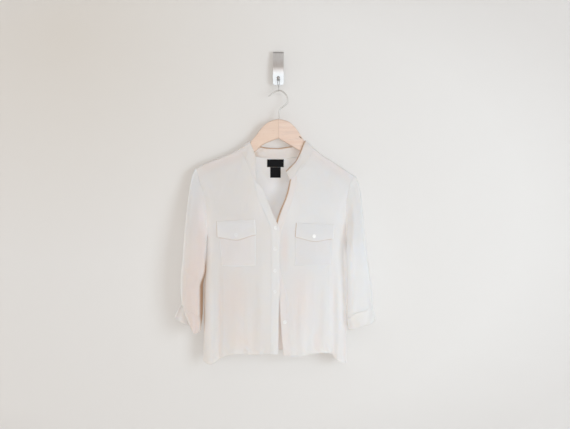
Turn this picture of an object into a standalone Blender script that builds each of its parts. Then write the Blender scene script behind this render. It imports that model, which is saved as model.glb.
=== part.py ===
"""A silk blouse on a wooden hanger, hanging from a steel wall hook.

Metres, +Z up. The wall is the plane Y = 0, the blouse faces -Y, and the origin is the middle of the flat back
of the wall hook. Left and right are the wearer's: the right front, which laps on top, is on the -X side.

The cloth is a set of open surfaces, each thickened by a Solidify modifier. All are read from the same few
functions: a shoulder ridge over the hanger, a front and a back surface below it, and rings for the sleeves.
Neighbours share their seam points, and each stops short of the seam by half of SEAM_GAP.
"""

import bisect
import math

import bmesh
import bpy
from mathutils import Vector

# Cloth
CLOTH = 0.0012  # wall of the body and sleeves
DOUBLE_CLOTH = 0.0016  # wall of the collar, bands and cuffs, which are two layers
POCKET_CLOTH = 0.0010
LABEL_CLOTH = 0.0010
SEAM_GAP = 0.0003
TURNED_GAP = 0.0005  # at side seams and cuffs, where both walls turn
CROSSWISE_GAP = 0.0006  # from a seam to a wall that meets it at an angle
UNDERARM_GAP = 0.0013  # the same under the arm, where the sleeve's wall turns sharply
LAY_GAP = 0.0005  # between a panel and what lies on it

# Hanger and its plane
HANGER_Y = -0.026
WOOD_THICK = 0.013
WOOD_ROUND = 0.004
WOOD_CLEAR = 0.0023  # from the wood up to the middle of the cloth's wall
ARM_STEPS = 16
ARM_END_STEPS = 6
ARM_END_ROUND = 0.5  # how far a hanger arm's end rounds out, as a share of half its depth
RIDGE_HALF = 0.009  # half width of the cloth's fold over the hanger
RIDGE_RISE = 0.006  # height in which the fold turns from level to upright

# Wall hook
STRIP_WIDTH = 0.030
STRIP_THICK = 0.002
STRIP_CORNER = 0.006
STRIP_BACK_TOP = 0.040
STRIP_BACK_BOTTOM = -0.040
STRIP_LIP_Y = -0.013
STRIP_KNEE_Z = -0.003
STRIP_FRONT_Y = -0.0195
STRIP_TIP_Z = -0.0485
PIN_Z = -0.031
PIN_RADIUS = 0.002
PIN_HEAD_RADIUS = 0.0045
PIN_HEAD_LENGTH = 0.002
PIN_TIP_Y = -0.0335
PIN_RIM = 0.00025
LOOP_WIRE = 0.0006
LOOP_POINTS = 28
LOOP_LEAN = 0.0014  # the hook hangs this far beside the pin
TWIST_START = 0.15  # shares of the loop's height over which it turns a quarter
TWIST_REACH = 0.65
HOOK_WIRE = 0.00175

# Blouse
UNDERARM_Z = {-1: -0.467, 1: -0.480}
SHOULDER_TIP_X = {-1: -0.2265, 1: 0.2104}
NECK_POINT_X = {-1: -0.1033, 1: 0.0984}
NOTCH = {-1: (-0.0582, -0.3216), 1: (0.0315, -0.3140)}  # x and z where collar and front edge meet
BAND_CORNER_Z = {-1: -0.3005, 1: -0.2965}  # where the front band's outer line meets the neck seam
LAP_LIFT = 0.0022  # the right front lies this far in front of the left one
LAP_REACH = 0.050
LAP_TOP_Z = -0.33
LAP_HEIGHT = 0.07  # height in which the lap reaches its lift
HEM_Z = -0.82  # below every panel
FRONT_STAND = 0.045  # how far the front and the back stand off the plane of the side seams
BACK_STAND = 0.030
ROUNDNESS = 2.6  # exponent of the body's section: 2 is an ellipse
BUTTON_RADIUS = 0.005
BUTTON_THICK = 0.0018
BUTTON_RIM = 0.00036
DISC_SIDES = 16

# Steps along the armhole and the neck seam, as shares of the way from the shoulder ridge to the underarm.
# They are close together where the cloth turns: over the hanger and at the underarm.
SEAM_STEPS = (0, 0.006, 0.018, 0.04, 0.085, 0.15, 0.24, 0.332, 0.45, 0.58, 0.71, 0.82, 0.91, 0.965, 1)
CORNER_STEP = 7  # the one of these at BAND_CORNER_Z
BAND_TILT_ROWS = 5  # rows in which the front band turns from the neck seam's slant to level
BODY_ROWS = 10  # rows from the underarm down to the hem
PANEL_COLUMNS = 11
BACK_NECK_STEPS = (0, 0.02, 0.06, 0.14, 0.3, 0.6, 1)  # shares of the way from the neck point to the middle


class Table:
    """Rows of named columns. Each is read by the first one, on a curve that doesn't overshoot."""

    def __init__(self, columns, *rows):
        names = columns.split()
        rows = sorted(rows)
        self.keys = [row[0] for row in rows]
        self.values = {name: [row[i] for row in rows] for i, name in enumerate(names)}
        self.slopes = {name: self.slopes_of(self.values[name]) for name in names}

    def slopes_of(self, values):
        steps = [b - a for a, b in zip(self.keys, self.keys[1:])]
        rises = [(b - a) / step for a, b, step in zip(values, values[1:], steps)]
        inner = [2 * a * b / (a + b) if a * b > 0 else 0 for a, b in zip(rises, rises[1:])]
        return [rises[0], *inner, rises[-1]]

    def at(self, key, name):
        values = self.values[name]
        if key <= self.keys[0]:
            return values[0]
        if key >= self.keys[-1]:
            return values[-1]
        i = bisect.bisect_right(self.keys, key) - 1
        step = self.keys[i + 1] - self.keys[i]
        slope, next_slope = self.slopes[name][i], self.slopes[name][i + 1]
        return hermite(values[i], values[i + 1], slope * step, next_slope * step, (key - self.keys[i]) / step)


def hermite(start, end, start_slope, end_slope, t):
    """The cubic curve between two numbers or vectors that leaves and arrives with the given slopes."""
    return (
        start * (1 - t) ** 2 * (1 + 2 * t)
        + end * t * t * (3 - 2 * t)
        + start_slope * t * (1 - t) ** 2
        - end_slope * t * t * (1 - t)
    )


def smooth(t):
    t = min(max(t, 0), 1)
    return t * t * (3 - 2 * t)


def mix(a, b, t):
    return a + (b - a) * t


# The shoulder line, and its continuation over the neck, which sets the depth of the cloth below it.
RIDGE = Table(
    "x z",
    (-0.262, -0.2960),
    (-0.2265, -0.2798),
    (-0.2085, -0.2693),
    (-0.1662, -0.2524),
    (-0.1238, -0.2355),
    (-0.1033, -0.2239),
    (-0.0600, -0.2040),
    (0.0000, -0.1930),
    (0.0600, -0.2020),
    (0.0984, -0.2247),
    (0.1170, -0.2397),
    (0.1627, -0.2693),
    (0.2104, -0.3009),
    (0.2500, -0.3240),
)
# Half widths of the body at the side seams, and above the underarm at the armhole seams.
SIDE = {
    -1: Table(
        "z x",
        (-0.280, -0.2265),
        (-0.323, -0.2154),
        (-0.355, -0.2035),
        (-0.386, -0.1980),
        (-0.418, -0.1962),
        (-0.467, -0.1947),
        (-0.506, -0.1953),
        (-0.566, -0.1995),
        (-0.600, -0.2019),
        (-0.693, -0.2030),
        (-0.820, -0.2052),
    ),
    1: Table(
        "z x",
        (-0.301, 0.2104),
        (-0.323, 0.1990),
        (-0.376, 0.1870),
        (-0.428, 0.1850),
        (-0.480, 0.1860),
        (-0.522, 0.1874),
        (-0.699, 0.1879),
        (-0.820, 0.1860),
    ),
}
# How far the cloth has left the hanger's plane, by its drop below the ridge.
DEPTH = Table(
    "drop front back",
    (0.000, 0.000, 0.000),
    (0.010, 0.000, 0.000),
    (0.040, 0.006, 0.001),
    (0.090, 0.016, 0.003),
    (0.150, 0.027, 0.005),
    (0.250, 0.039, 0.006),
    (0.400, 0.047, 0.007),
    (0.600, 0.052, 0.008),
)
SEAM_Y = Table("z y", (-0.320, HANGER_Y), (-0.467, -0.032), (-0.600, -0.040), (-0.820, -0.042))
# How much wider than the armhole the section runs, which leaves the armhole open front to back.
TURN = Table("share width", (0, 0), (0.09, 0.003), (0.29, 0.014), (0.55, 0.035), (0.82, 0.08), (1, 0.15))
# From the shoulder down: the neck seam, then the outer line of the front band.
INNER = {
    -1: Table(
        "z x",
        (-0.2239, -0.1033),
        (-0.2498, -0.0915),
        (-0.2694, -0.0830),
        (-0.2869, -0.0757),
        (-0.3005, -0.0709),
        (-0.3510, -0.0610),
        (-0.3849, -0.0470),
        (-0.4231, -0.0306),
        (-0.4477, -0.0215),
        (-0.4770, -0.0188),
        (-0.6113, -0.0190),
        (-0.7799, -0.0222),
    ),
    1: Table(
        "z x",
        (-0.2247, 0.0984),
        (-0.2498, 0.0847),
        (-0.2721, 0.0708),
        (-0.2965, 0.0530),
        (-0.3332, 0.0500),
        (-0.3619, 0.0430),
        (-0.3917, 0.0315),
        (-0.4177, 0.0215),
        (-0.4778, 0.0065),
        (-0.5444, 0.0050),
        (-0.5846, 0.0137),
        (-0.6222, 0.0245),
        (-0.6973, 0.0299),
        (-0.7803, 0.0379),
    ),
}
EDGE = {
    -1: Table(
        "z x",
        (-0.3216, -0.0582),
        (-0.3303, -0.0485),
        (-0.3428, -0.0409),
        (-0.3772, -0.0267),
        (-0.4163, -0.0098),
        (-0.4340, -0.0016),
        (-0.4477, 0.0028),
        (-0.6113, 0.0030),
        (-0.6916, 0.0014),
        (-0.7799, -0.0002),
    ),
    1: Table(
        "z x",
        (-0.3140, 0.0315),
        (-0.3332, 0.0276),
        (-0.3619, 0.0197),
        (-0.3917, 0.0074),
        (-0.4177, -0.0019),
        (-0.4778, -0.0155),
        (-0.5444, -0.0170),
        (-0.5846, -0.0083),
        (-0.6222, 0.0025),
        (-0.6973, 0.0079),
        (-0.7803, 0.0159),
    ),
}
FRONT_HEM = Table(
    "x z",
    (-0.2052, -0.8080),
    (-0.1838, -0.8143),
    (-0.1704, -0.8090),
    (-0.1607, -0.8000),
    (-0.1437, -0.7917),
    (-0.1133, -0.7836),
    (-0.0648, -0.7863),
    (-0.0271, -0.7810),
    (0.0428, -0.7890),
    (0.0859, -0.7850),
    (0.1357, -0.7810),
    (0.1451, -0.7850),
    (0.1545, -0.8000),
    (0.1801, -0.8106),
    (0.1860, -0.8120),
)
BACK_HEM = Table("x z", (-0.2052, -0.8080), (-0.150, -0.792), (0, -0.786), (0.140, -0.792), (0.186, -0.8120))
BACK_NECK = Table("x z", (-0.1033, -0.2239), (-0.085, -0.236), (-0.055, -0.247), (0, -0.252), (0.055, -0.247),
                  (0.080, -0.237), (0.0984, -0.2247))
# Hanging folds: where each starts, its half width, and its height, which is negative for a trough.
FRONT_FOLDS = (
    {"x": -0.185, "from_z": -0.44, "half": 0.017, "height": 0.007},
    {"x": -0.160, "from_z": -0.49, "half": 0.012, "height": -0.007},
    {"x": -0.112, "from_z": -0.55, "half": 0.024, "height": 0.005},
    {"x": -0.066, "from_z": -0.56, "half": 0.020, "height": -0.004},
    {"x": 0.066, "from_z": -0.56, "half": 0.020, "height": 0.004},
    {"x": 0.106, "from_z": -0.56, "half": 0.022, "height": -0.004},
    {"x": 0.149, "from_z": -0.49, "half": 0.012, "height": -0.008},
    {"x": 0.172, "from_z": -0.44, "half": 0.016, "height": 0.007},
)
BACK_FOLDS = (
    {"x": -0.170, "from_z": -0.42, "half": 0.018, "height": -0.006},
    {"x": -0.115, "from_z": -0.36, "half": 0.024, "height": 0.004},
    {"x": -0.055, "from_z": -0.46, "half": 0.020, "height": -0.005},
    {"x": 0.010, "from_z": -0.34, "half": 0.026, "height": 0.004},
    {"x": 0.070, "from_z": -0.44, "half": 0.020, "height": -0.006},
    {"x": 0.120, "from_z": -0.38, "half": 0.022, "height": 0.004},
    {"x": 0.160, "from_z": -0.46, "half": 0.015, "height": -0.005},
)
FOLD_GROWTH = 0.22  # a fold reaches its height this far below its start

# Rings of the sleeves below the underarm. "out" is the side away from the body.
SLEEVE = {
    -1: Table(
        "down out_x out_z in_x in_z front_y back_y",
        (0, -0.2565, -0.5157, -0.1992, -0.5020, -0.098, -0.013),
        (1, -0.2606, -0.5720, -0.2045, -0.5640, -0.101, -0.012),
        (2, -0.2617, -0.6137, -0.2115, -0.6080, -0.098, -0.012),
        (3, -0.2617, -0.6500, -0.2095, -0.6880, -0.096, -0.014),
    ),
    1: Table(
        "down out_x out_z in_x in_z front_y back_y",
        (0, 0.2398, -0.5130, 0.1912, -0.5070, -0.096, -0.012),
        (1, 0.2480, -0.5750, 0.1922, -0.5650, -0.099, -0.011),
        (2, 0.2530, -0.6137, 0.1925, -0.6100, -0.098, -0.012),
        (3, 0.2555, -0.6490, 0.1922, -0.6900, -0.096, -0.014),
    ),
}
SLEEVE_ROUNDNESS = 2.3
CAP_STEPS = (0.05, 0.14, 0.27, 0.45, 0.7)  # rings between the armhole seam and the first ring below it
TUBE_STEPS = (0, 0.5, 1, 1.5, 2, 2.5, 3)
CAP_LEAVES = Table("share reach", (0, 0.070), (0.5, 0.055), (0.85, 0.020), (1, 0.008))
CAP_DROOP = 0.35  # how steeply the sleeve leaves the top of the armhole
CAP_FORWARD = 0.25  # how far it leaves towards the front, and on the back half towards the back
CAP_BACKWARD = 0.10
CAP_ARRIVES = 0.8
# The open end of each cuff, all round from the slit's front edge to its back edge.
CUFF_END = {
    -1: Table(
        "degrees x y z",
        (0, -0.2414, -0.080, -0.6940),
        (45, -0.2330, -0.094, -0.7120),
        (90, -0.2230, -0.098, -0.7262),
        (135, -0.2135, -0.084, -0.7250),
        (180, -0.2115, -0.055, -0.7232),
        (225, -0.2200, -0.028, -0.7215),
        (270, -0.2450, -0.016, -0.7190),
        (315, -0.2700, -0.022, -0.7080),
        (360, -0.2844, -0.042, -0.6900),
    ),
    1: Table(
        "degrees x y z",
        (0, 0.2634, -0.068, -0.6926),
        (45, 0.2500, -0.088, -0.7000),
        (90, 0.2269, -0.098, -0.7072),
        (135, 0.2020, -0.086, -0.7170),
        (180, 0.1928, -0.056, -0.7227),
        (225, 0.2020, -0.026, -0.7150),
        (270, 0.2269, -0.012, -0.7060),
        (315, 0.2520, -0.022, -0.7000),
        (360, 0.2672, -0.045, -0.6948),
    ),
}
CUFF_ROWS = 3
SLIT_GAP = 0.0008
# The collar's free edge, from the notch at the front round to the ridge ("along" is the share of the seam).
COLLAR_FRONT = {
    -1: Table(
        "along x y z",
        (0, -0.0595, -0.0475, -0.2943),
        (0.32, -0.0602, -0.0440, -0.2639),
        (0.53, -0.0637, -0.0405, -0.2443),
        (0.70, -0.0687, -0.0385, -0.2300),
        (0.90, -0.0750, -0.0364, -0.2145),
        (0.95, -0.0780, -0.0350, -0.2080),
        (1, -0.0806, -0.0260, -0.2050),
    ),
    1: Table(
        "along x y z",
        (0, 0.0211, -0.0470, -0.2888),
        (0.22, 0.0340, -0.0440, -0.2760),
        (0.45, 0.0490, -0.0410, -0.2590),
        (0.70, 0.0605, -0.0385, -0.2345),
        (0.90, 0.0690, -0.0366, -0.2125),
        (0.95, 0.0722, -0.0352, -0.2060),
        (1, 0.0750, -0.0260, -0.2030),
    ),
}
COLLAR_BACK = {
    -1: Table(
        "along x y z",
        (0, -0.0806, -0.0260, -0.2050),
        (0.02, -0.0792, -0.0215, -0.2065),
        (0.06, -0.0762, -0.0172, -0.2085),
        (0.14, -0.0695, -0.0152, -0.2110),
        (0.3, -0.0560, -0.0142, -0.2160),
        (0.6, -0.0330, -0.0132, -0.2215),
        (1, 0.0000, -0.0125, -0.2230),
    ),
    1: Table(
        "along x y z",
        (0, 0.0750, -0.0260, -0.2030),
        (0.02, 0.0732, -0.0215, -0.2045),
        (0.06, 0.0702, -0.0172, -0.2065),
        (0.14, 0.0635, -0.0152, -0.2090),
        (0.3, 0.0510, -0.0142, -0.2130),
        (0.6, 0.0300, -0.0132, -0.2186),
        (1, 0.0000, -0.0125, -0.2230),
    ),
}
COLLAR_ROWS = 3
# Corners of the pockets and flaps in the front view, as x and z.
POCKET = {
    -1: {"top": -0.4400, "low": (-0.5475, -0.5448), "point": -0.0030, "outer": (-0.1655, -0.1519),
         "inner": (-0.0605, -0.0599)},
    1: {"top": -0.4480, "low": (-0.5456, -0.5456), "point": -0.0010, "outer": (0.1462, 0.1426),
        "inner": (0.0478, 0.0449)},
}
FLAP = {
    -1: {"high": (-0.4265, -0.4225), "low": (-0.4705, -0.4625), "point": -0.0100, "outer": (-0.1691, -0.1653),
         "inner": (-0.0628, -0.0600)},
    1: {"high": (-0.4355, -0.4303), "low": (-0.4745, -0.4686), "point": -0.0085, "outer": (0.1540, 0.1488),
        "inner": (0.0487, 0.0457)},
}
POCKET_COLUMNS = 8
POCKET_ROWS = 6
FLAP_ROWS = 5
PLACKET_BUTTONS = ((-0.0072, -0.4446), (-0.0085, -0.5012), (-0.0085, -0.5594), (-0.0088, -0.6154))
LOOSE_BUTTON = (0.0181, -0.6972)
FLAP_BUTTON = {-1: (-0.1132, -0.4640), 1: (0.0967, -0.4670)}
LABEL_X = (-0.0315, 0.0153)
LABEL_TOP = -0.2545
LABEL_BOTTOM = -0.2760
TAB_X = (-0.0226, 0.0066)
TAB_BOTTOM = -0.3056

# Hanger outline: the edges over the neck, and the depth of the arms further out.
HANGER_CROWN = Table(
    "x z",
    (-0.0778, -0.2081),
    (-0.0642, -0.1926),
    (-0.0418, -0.1640),
    (-0.0243, -0.1510),
    (0.0009, -0.1445),
    (0.0261, -0.1500),
    (0.0474, -0.1675),
    (0.0610, -0.1875),
    (0.0746, -0.2095),
)
HANGER_UNDER = Table(
    "x z",
    (-0.2120, -0.2955),
    (-0.1600, -0.2830),
    (-0.1000, -0.2560),
    (-0.0639, -0.2339),
    (-0.0476, -0.2170),
    (-0.0222, -0.2049),
    (0.0009, -0.1972),
    (0.0600, -0.2330),
    (0.1000, -0.2610),
    (0.1500, -0.2940),
    (0.1980, -0.3190),
)
HANGER_MIDDLE_X = 0.0009
ARM_END_X = {-1: -0.2060, 1: 0.1900}
HOOK_ROUTE = (
    (-0.0268, -0.0812),
    (-0.0212, -0.0765),
    (-0.0141, -0.0715),
    (-0.0060, -0.0662),
    (0.0014, -0.0643),
    (0.0100, -0.0664),
    (0.0178, -0.0722),
    (0.0238, -0.0812),
    (0.0258, -0.0920),
    (0.0225, -0.1015),
    (0.0140, -0.1090),
    (0.0060, -0.1150),
    (0.0022, -0.1230),
    (0.0014, -0.1330),
    (0.0010, -0.1452),
)

COLOURS = {
    "silk": ((0.80, 0.76, 0.70), 0.45, 0.0),
    "wood": ((0.80, 0.60, 0.42), 0.40, 0.0),
    "steel": ((0.62, 0.60, 0.58), 0.30, 1.0),
    "pearl": ((0.86, 0.85, 0.82), 0.18, 0.0),
    "tape": ((0.02, 0.02, 0.024), 0.70, 0.0),
}


# ---------------------------------------------------------------- the body's surfaces


def ridge_drop(x, z):
    return max(RIDGE.at(x, "z") - z, 0)


def over_ridge(drop):
    """0 on the ridge, 1 once the cloth hangs upright beside the hanger."""
    return math.sqrt(1 - (1 - min(drop / RIDGE_RISE, 1)) ** 2)


def fullness(x, z):
    """1 in the middle of the body, 0 at the side seam, and between the two at an armhole."""
    side = 1 if x > 0 else -1
    top = RIDGE.at(SHOULDER_TIP_X[side], "z")
    share = (z - UNDERARM_Z[side]) / (top - UNDERARM_Z[side])
    half = abs(SIDE[side].at(z, "x")) + TURN.at(share, "width")
    return max(1 - min(abs(x) / half, 1) ** ROUNDNESS, 0) ** (1 / ROUNDNESS)


def fold_height(folds, x, z):
    height = 0
    for fold in folds:
        across = min(abs(x - fold["x"]) / fold["half"], 1)
        height += fold["height"] * (1 - across * across) ** 2 * smooth((fold["from_z"] - z) / FOLD_GROWTH)
    return height


def lap_lift(x, z):
    """The right front rises over the left one towards its band."""
    near_band = smooth((x - INNER[-1].at(z, "x") + LAP_REACH) / LAP_REACH)
    return LAP_LIFT * near_band * smooth((LAP_TOP_Z - z) / LAP_HEIGHT)


def front_point(side, x, z, lift=0.0):
    """A point of one front, moved out from it by lift along its normal."""

    def surface(x, z):
        drop = ridge_drop(x, z)
        middle = HANGER_Y - RIDGE_HALF * over_ridge(drop) - DEPTH.at(drop, "front")
        middle -= fold_height(FRONT_FOLDS, x, z)
        if side < 0:
            middle -= lap_lift(x, z)
        return Vector((x, mix(SEAM_Y.at(z, "y"), middle, fullness(x, z)), z))

    return moved_out(surface, x, z, lift)


def back_point(x, z, lift=0.0):
    """A point of the back. A positive lift goes inside the blouse."""

    def surface(x, z):
        drop = ridge_drop(x, z)
        middle = HANGER_Y + RIDGE_HALF * over_ridge(drop) + DEPTH.at(drop, "back")
        middle += fold_height(BACK_FOLDS, x, z)
        return Vector((x, mix(SEAM_Y.at(z, "y"), middle, fullness(x, z)), z))

    return moved_out(surface, x, z, lift)


def moved_out(surface, x, z, lift):
    """The surface's point, moved by lift along its normal, which faces -Y."""
    point = surface(x, z)
    if not lift:
        return point
    step = 0.001
    across = surface(x + step, z) - surface(x - step, z)
    up = surface(x, z + step) - surface(x, z - step)
    return point + across.cross(up).normalized() * lift


# ---------------------------------------------------------------- grids of points for the panels


def neck_point(side):
    x = NECK_POINT_X[side]
    return x, RIDGE.at(x, "z")


def row_height(side, step):
    """Heights at a row's two ends: at the neck seam or band, and at the armhole or side seam."""
    neck_z = neck_point(side)[1]
    tip_z = RIDGE.at(SHOULDER_TIP_X[side], "z")
    inner_z = neck_z + (BAND_CORNER_Z[side] - neck_z) / SEAM_STEPS[CORNER_STEP]
    upper_rows = len(SEAM_STEPS) - 1
    if step <= upper_rows:
        share = SEAM_STEPS[step]
        return mix(neck_z, inner_z, share), mix(tip_z, UNDERARM_Z[side], share)
    share = (step - upper_rows) / BODY_ROWS
    hem_inner = FRONT_HEM.at(INNER[side].at(HEM_Z, "x"), "z")
    hem_side = FRONT_HEM.at(SIDE[side].at(HEM_Z, "x"), "z")
    return mix(inner_z, hem_inner, share), mix(UNDERARM_Z[side], hem_side, share)


def row_count():
    return len(SEAM_STEPS) + BODY_ROWS


def below_underarm(step):
    return max((step - len(SEAM_STEPS) + 1) / BODY_ROWS, 0)


def side_share(j):
    """Columns close up towards the side, where the cloth turns."""
    return math.sin(math.pi / 2 * j / PANEL_COLUMNS)


def row_end(side, z, low, stand):
    """The x at which a row stops: short of the armhole by half the seam gap or, below the underarm, where the
    surface has come within half the gap of the side seam's plane."""
    seam_x = SIDE[side].at(z, "x")
    if low == 0:
        return seam_x - side * SEAM_GAP / 2
    return seam_x * (1 - (TURNED_GAP / 2 / stand) ** ROUNDNESS / ROUNDNESS)


def ridge_bulge(side, share):
    """How far the shoulder line lies above a straight one, at a share of the way to the shoulder tip."""
    neck_x, neck_z = neck_point(side)
    tip_x = SHOULDER_TIP_X[side]
    return RIDGE.at(mix(neck_x, tip_x, share), "z") - mix(neck_z, RIDGE.at(tip_x, "z"), share)


def front_row(side, step):
    """Places along a row of a front, as x and z. The first follows the shoulder and the last the hem."""
    inner_z, side_z = row_height(side, step)
    low = below_underarm(step)
    inner_x = INNER[side].at(inner_z, "x") + side * SEAM_GAP / 2
    side_x = row_end(side, side_z, low, FRONT_STAND)
    near_shoulder = 1 - smooth(2 * SEAM_STEPS[min(step, len(SEAM_STEPS) - 1)])
    last_row = row_height(side, row_count() - 1)
    row = []
    for j in range(PANEL_COLUMNS + 1):
        share = side_share(j)
        x, z = mix(inner_x, side_x, share), mix(inner_z, side_z, share)
        z += ridge_bulge(side, share) * near_shoulder
        z += (FRONT_HEM.at(x, "z") - mix(*last_row, share)) * low**3
        row.append((x, z))
    return row


def front_grid(side):
    grid = []
    for step in range(row_count()):
        points = [front_point(side, x, z) for x, z in front_row(side, step)]
        if step == 0:
            points = [Vector((p.x, HANGER_Y - SEAM_GAP / 2, p.z)) for p in points]
        grid.append(points)
    return grid


def back_columns():
    """Each column of the back: its x at the top and at the side it belongs to, from the right to the left."""
    columns = []
    for side in (-1, 1):
        outer = [("panel", side, side_share(j)) for j in range(PANEL_COLUMNS, 0, -1)]
        neck = [("neck", side, share) for share in BACK_NECK_STEPS]
        run = outer + neck
        columns += run if side < 0 else run[-2::-1]
    return columns


def back_place(column, step):
    """Where a column of the back crosses a row, as x and z."""
    kind, side, share = column
    neck_x = NECK_POINT_X[side]
    side_z = row_height(side, step)[1]
    low = below_underarm(step)
    side_x = row_end(side, side_z, low, BACK_STAND)
    if kind == "panel":
        top_x = mix(neck_x, SHOULDER_TIP_X[side], share)
        top_z = RIDGE.at(top_x, "z")
    else:
        top_x = mix(neck_x, 0, share)
        top_z = BACK_NECK.at(top_x, "z") - (SEAM_GAP / 2 if share > 0 else 0)
    across = top_x / SHOULDER_TIP_X[side]
    x = side_x * across
    upper = SEAM_STEPS[min(step, len(SEAM_STEPS) - 1)]
    middle_underarm = (UNDERARM_Z[-1] + UNDERARM_Z[1]) / 2
    underarm = mix(middle_underarm, UNDERARM_Z[side], across)
    return x, mix(mix(top_z, underarm, upper), BACK_HEM.at(x, "z"), low)


def back_grid():
    grid = []
    columns = back_columns()
    for step in range(row_count()):
        row = []
        for column in columns:
            x, z = back_place(column, step)
            if step == 0 and column[0] == "panel":
                row.append(Vector((x, HANGER_Y + SEAM_GAP / 2, z)))
            else:
                row.append(back_point(x, z))
        grid.append(row)
    return grid


# ---------------------------------------------------------------- sleeves and cuffs


def armhole_point(side, step, front):
    _, z = row_height(side, step)
    x = SIDE[side].at(z, "x")
    return front_point(side, x, z) if front else back_point(x, z)


def oval_point(side, down, turn):
    """A point of a sleeve ring. turn is 0 on the outside, a quarter turn at the front."""
    ring = {name: SLEEVE[side].at(down, name) for name in SLEEVE[side].values}
    cos, sin = math.cos(turn), math.sin(turn)
    out = math.copysign(abs(cos) ** (2 / SLEEVE_ROUNDNESS), cos)
    ahead = math.copysign(abs(sin) ** (2 / SLEEVE_ROUNDNESS), sin)
    inward = (1 - out) / 2
    middle_y = (ring["front_y"] + ring["back_y"]) / 2
    return Vector(
        (
            mix(ring["out_x"], ring["in_x"], inward),
            middle_y + ahead * (ring["front_y"] - middle_y),
            mix(ring["out_z"], ring["in_z"], (1 - cos) / 2),
        )
    )


def sleeve_turns():
    """(step of the armhole, whether it is on the front, turn round the sleeve), once round from the ridge."""
    last = len(SEAM_STEPS) - 1
    front = [(step, True, math.pi * step / last) for step in range(last + 1)]
    back = [(step, False, 2 * math.pi - math.pi * step / last) for step in range(last - 1, 0, -1)]
    return front + back


def sleeve_grid(side):
    rings = [[] for _ in range(1 + len(CAP_STEPS) + len(TUBE_STEPS))]
    for step, front, turn in sleeve_turns():
        share = SEAM_STEPS[step]
        start = armhole_point(side, step, front)
        end = oval_point(side, 0, turn)
        below = oval_point(side, 0.1, turn) - end
        swing = (-CAP_FORWARD if front else CAP_BACKWARD) * math.sin(math.pi * share)
        heading = Vector((side, swing, -CAP_DROOP * (1 - smooth(share * 2)))).normalized()
        arrive = below.normalized() * (end - start).length * CAP_ARRIVES
        start = start + heading * mix(CROSSWISE_GAP, UNDERARM_GAP, smooth(share * 5 - 4))
        leave = heading * CAP_LEAVES.at(share, "reach")
        column = [start]
        column += [hermite(start, end, leave, arrive, t) for t in CAP_STEPS]
        column += [oval_point(side, down, turn) for down in TUBE_STEPS]
        for ring, point in zip(rings, column):
            ring.append(point)
    return rings


def cuff_grid(side):
    """From the sleeve's end to the cuff's open end. The grid starts and ends at the slit on the outside."""
    turns = [turn for _, _, turn in sleeve_turns()] + [2 * math.pi]
    rows = [[] for _ in range(CUFF_ROWS + 1)]
    last = len(turns) - 1
    for i, turn in enumerate(turns):
        top = oval_point(side, 3, turn)
        top.z -= TURNED_GAP
        if i in (0, last):
            top.y += SLIT_GAP / 2 * (-1 if i == 0 else 1)
        end = Vector([CUFF_END[side].at(math.degrees(turn), axis) for axis in "xyz"])
        for k, row in enumerate(rows):
            row.append(top.lerp(end, k / CUFF_ROWS))
    return rows


# ---------------------------------------------------------------- collar, bands, pockets, labels


def front_neck_seam(side):
    """The neck seam of one front from the notch to the ridge."""
    notch = front_point(side, *NOTCH[side])
    corner_z = BAND_CORNER_Z[side]
    corner = front_point(side, INNER[side].at(corner_z, "x"), corner_z)
    middle = front_point(side, (notch.x + corner.x) / 2, (notch.z + corner.z) / 2)
    seam = [notch, middle, corner]
    for step in range(CORNER_STEP - 1, -1, -1):
        z = row_height(side, step)[0]
        seam.append(front_point(side, INNER[side].at(z, "x"), z))
    return seam


def shares_along(points):
    lengths = [0.0]
    for a, b in zip(points, points[1:]):
        lengths.append(lengths[-1] + (b - a).length)
    return [length / lengths[-1] for length in lengths]


def collar_run(side):
    """Seam and edge point of each column of half the collar, from the notch to the middle of the back."""
    seam = front_neck_seam(side)
    run = []
    for point, along in zip(seam, shares_along(seam)):
        run.append((point, Vector([COLLAR_FRONT[side].at(along, axis) for axis in "xyz"])))
    for share in BACK_NECK_STEPS[1:]:
        x = mix(NECK_POINT_X[side], 0, share)
        free = Vector([COLLAR_BACK[side].at(share, axis) for axis in "xyz"])
        run.append((back_point(x, BACK_NECK.at(x, "z")), free))
    return run


def collar_grid():
    columns = collar_run(-1) + collar_run(1)[-2::-1]
    rows = []
    for k in range(COLLAR_ROWS + 1):
        row = []
        for seam, free in columns:
            start = seam + (free - seam).normalized() * CROSSWISE_GAP
            row.append(start.lerp(free, k / COLLAR_ROWS))
        rows.append(row)
    return rows


def band_grid(side):
    """The front band from the neck seam to the hem, between the front's inner line and its own free edge."""
    rows = []
    notch_z = NOTCH[side][1]
    tilt = notch_z - BAND_CORNER_Z[side]
    for step in range(CORNER_STEP, row_count()):
        outer_z = row_height(side, step)[0]
        outer_x = INNER[side].at(outer_z, "x") - side * SEAM_GAP / 2
        edge_z = outer_z + tilt * (1 - smooth((step - CORNER_STEP) / BAND_TILT_ROWS))
        edge_x = EDGE[side].at(edge_z, "x")
        row = []
        for share in (0, 0.5, 1):
            x, z = mix(outer_x, edge_x, share), mix(outer_z, edge_z, share)
            if step == CORNER_STEP:
                z -= CROSSWISE_GAP
            if step == row_count() - 1:
                z = FRONT_HEM.at(x, "z")
            row.append(front_point(side, x, z))
        rows.append(row)
    return rows


def patch_grid(side, shape, top, rows, lift_at):
    """A flat piece on a front: rows from top to bottom between its inner and outer edges."""
    grid = []
    for k in range(rows + 1):
        down = k / rows
        row = []
        for j in range(POCKET_COLUMNS + 1):
            across = j / POCKET_COLUMNS
            x = mix(mix(*shape["outer"], down), mix(*shape["inner"], down), across)
            high = mix(*top, across)
            low = mix(*shape["low"], across) + shape["point"] * (1 - abs(2 * across - 1))
            z = mix(high, low, down)
            row.append(front_point(side, x, z, lift_at(down)))
        grid.append(row)
    return grid


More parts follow.
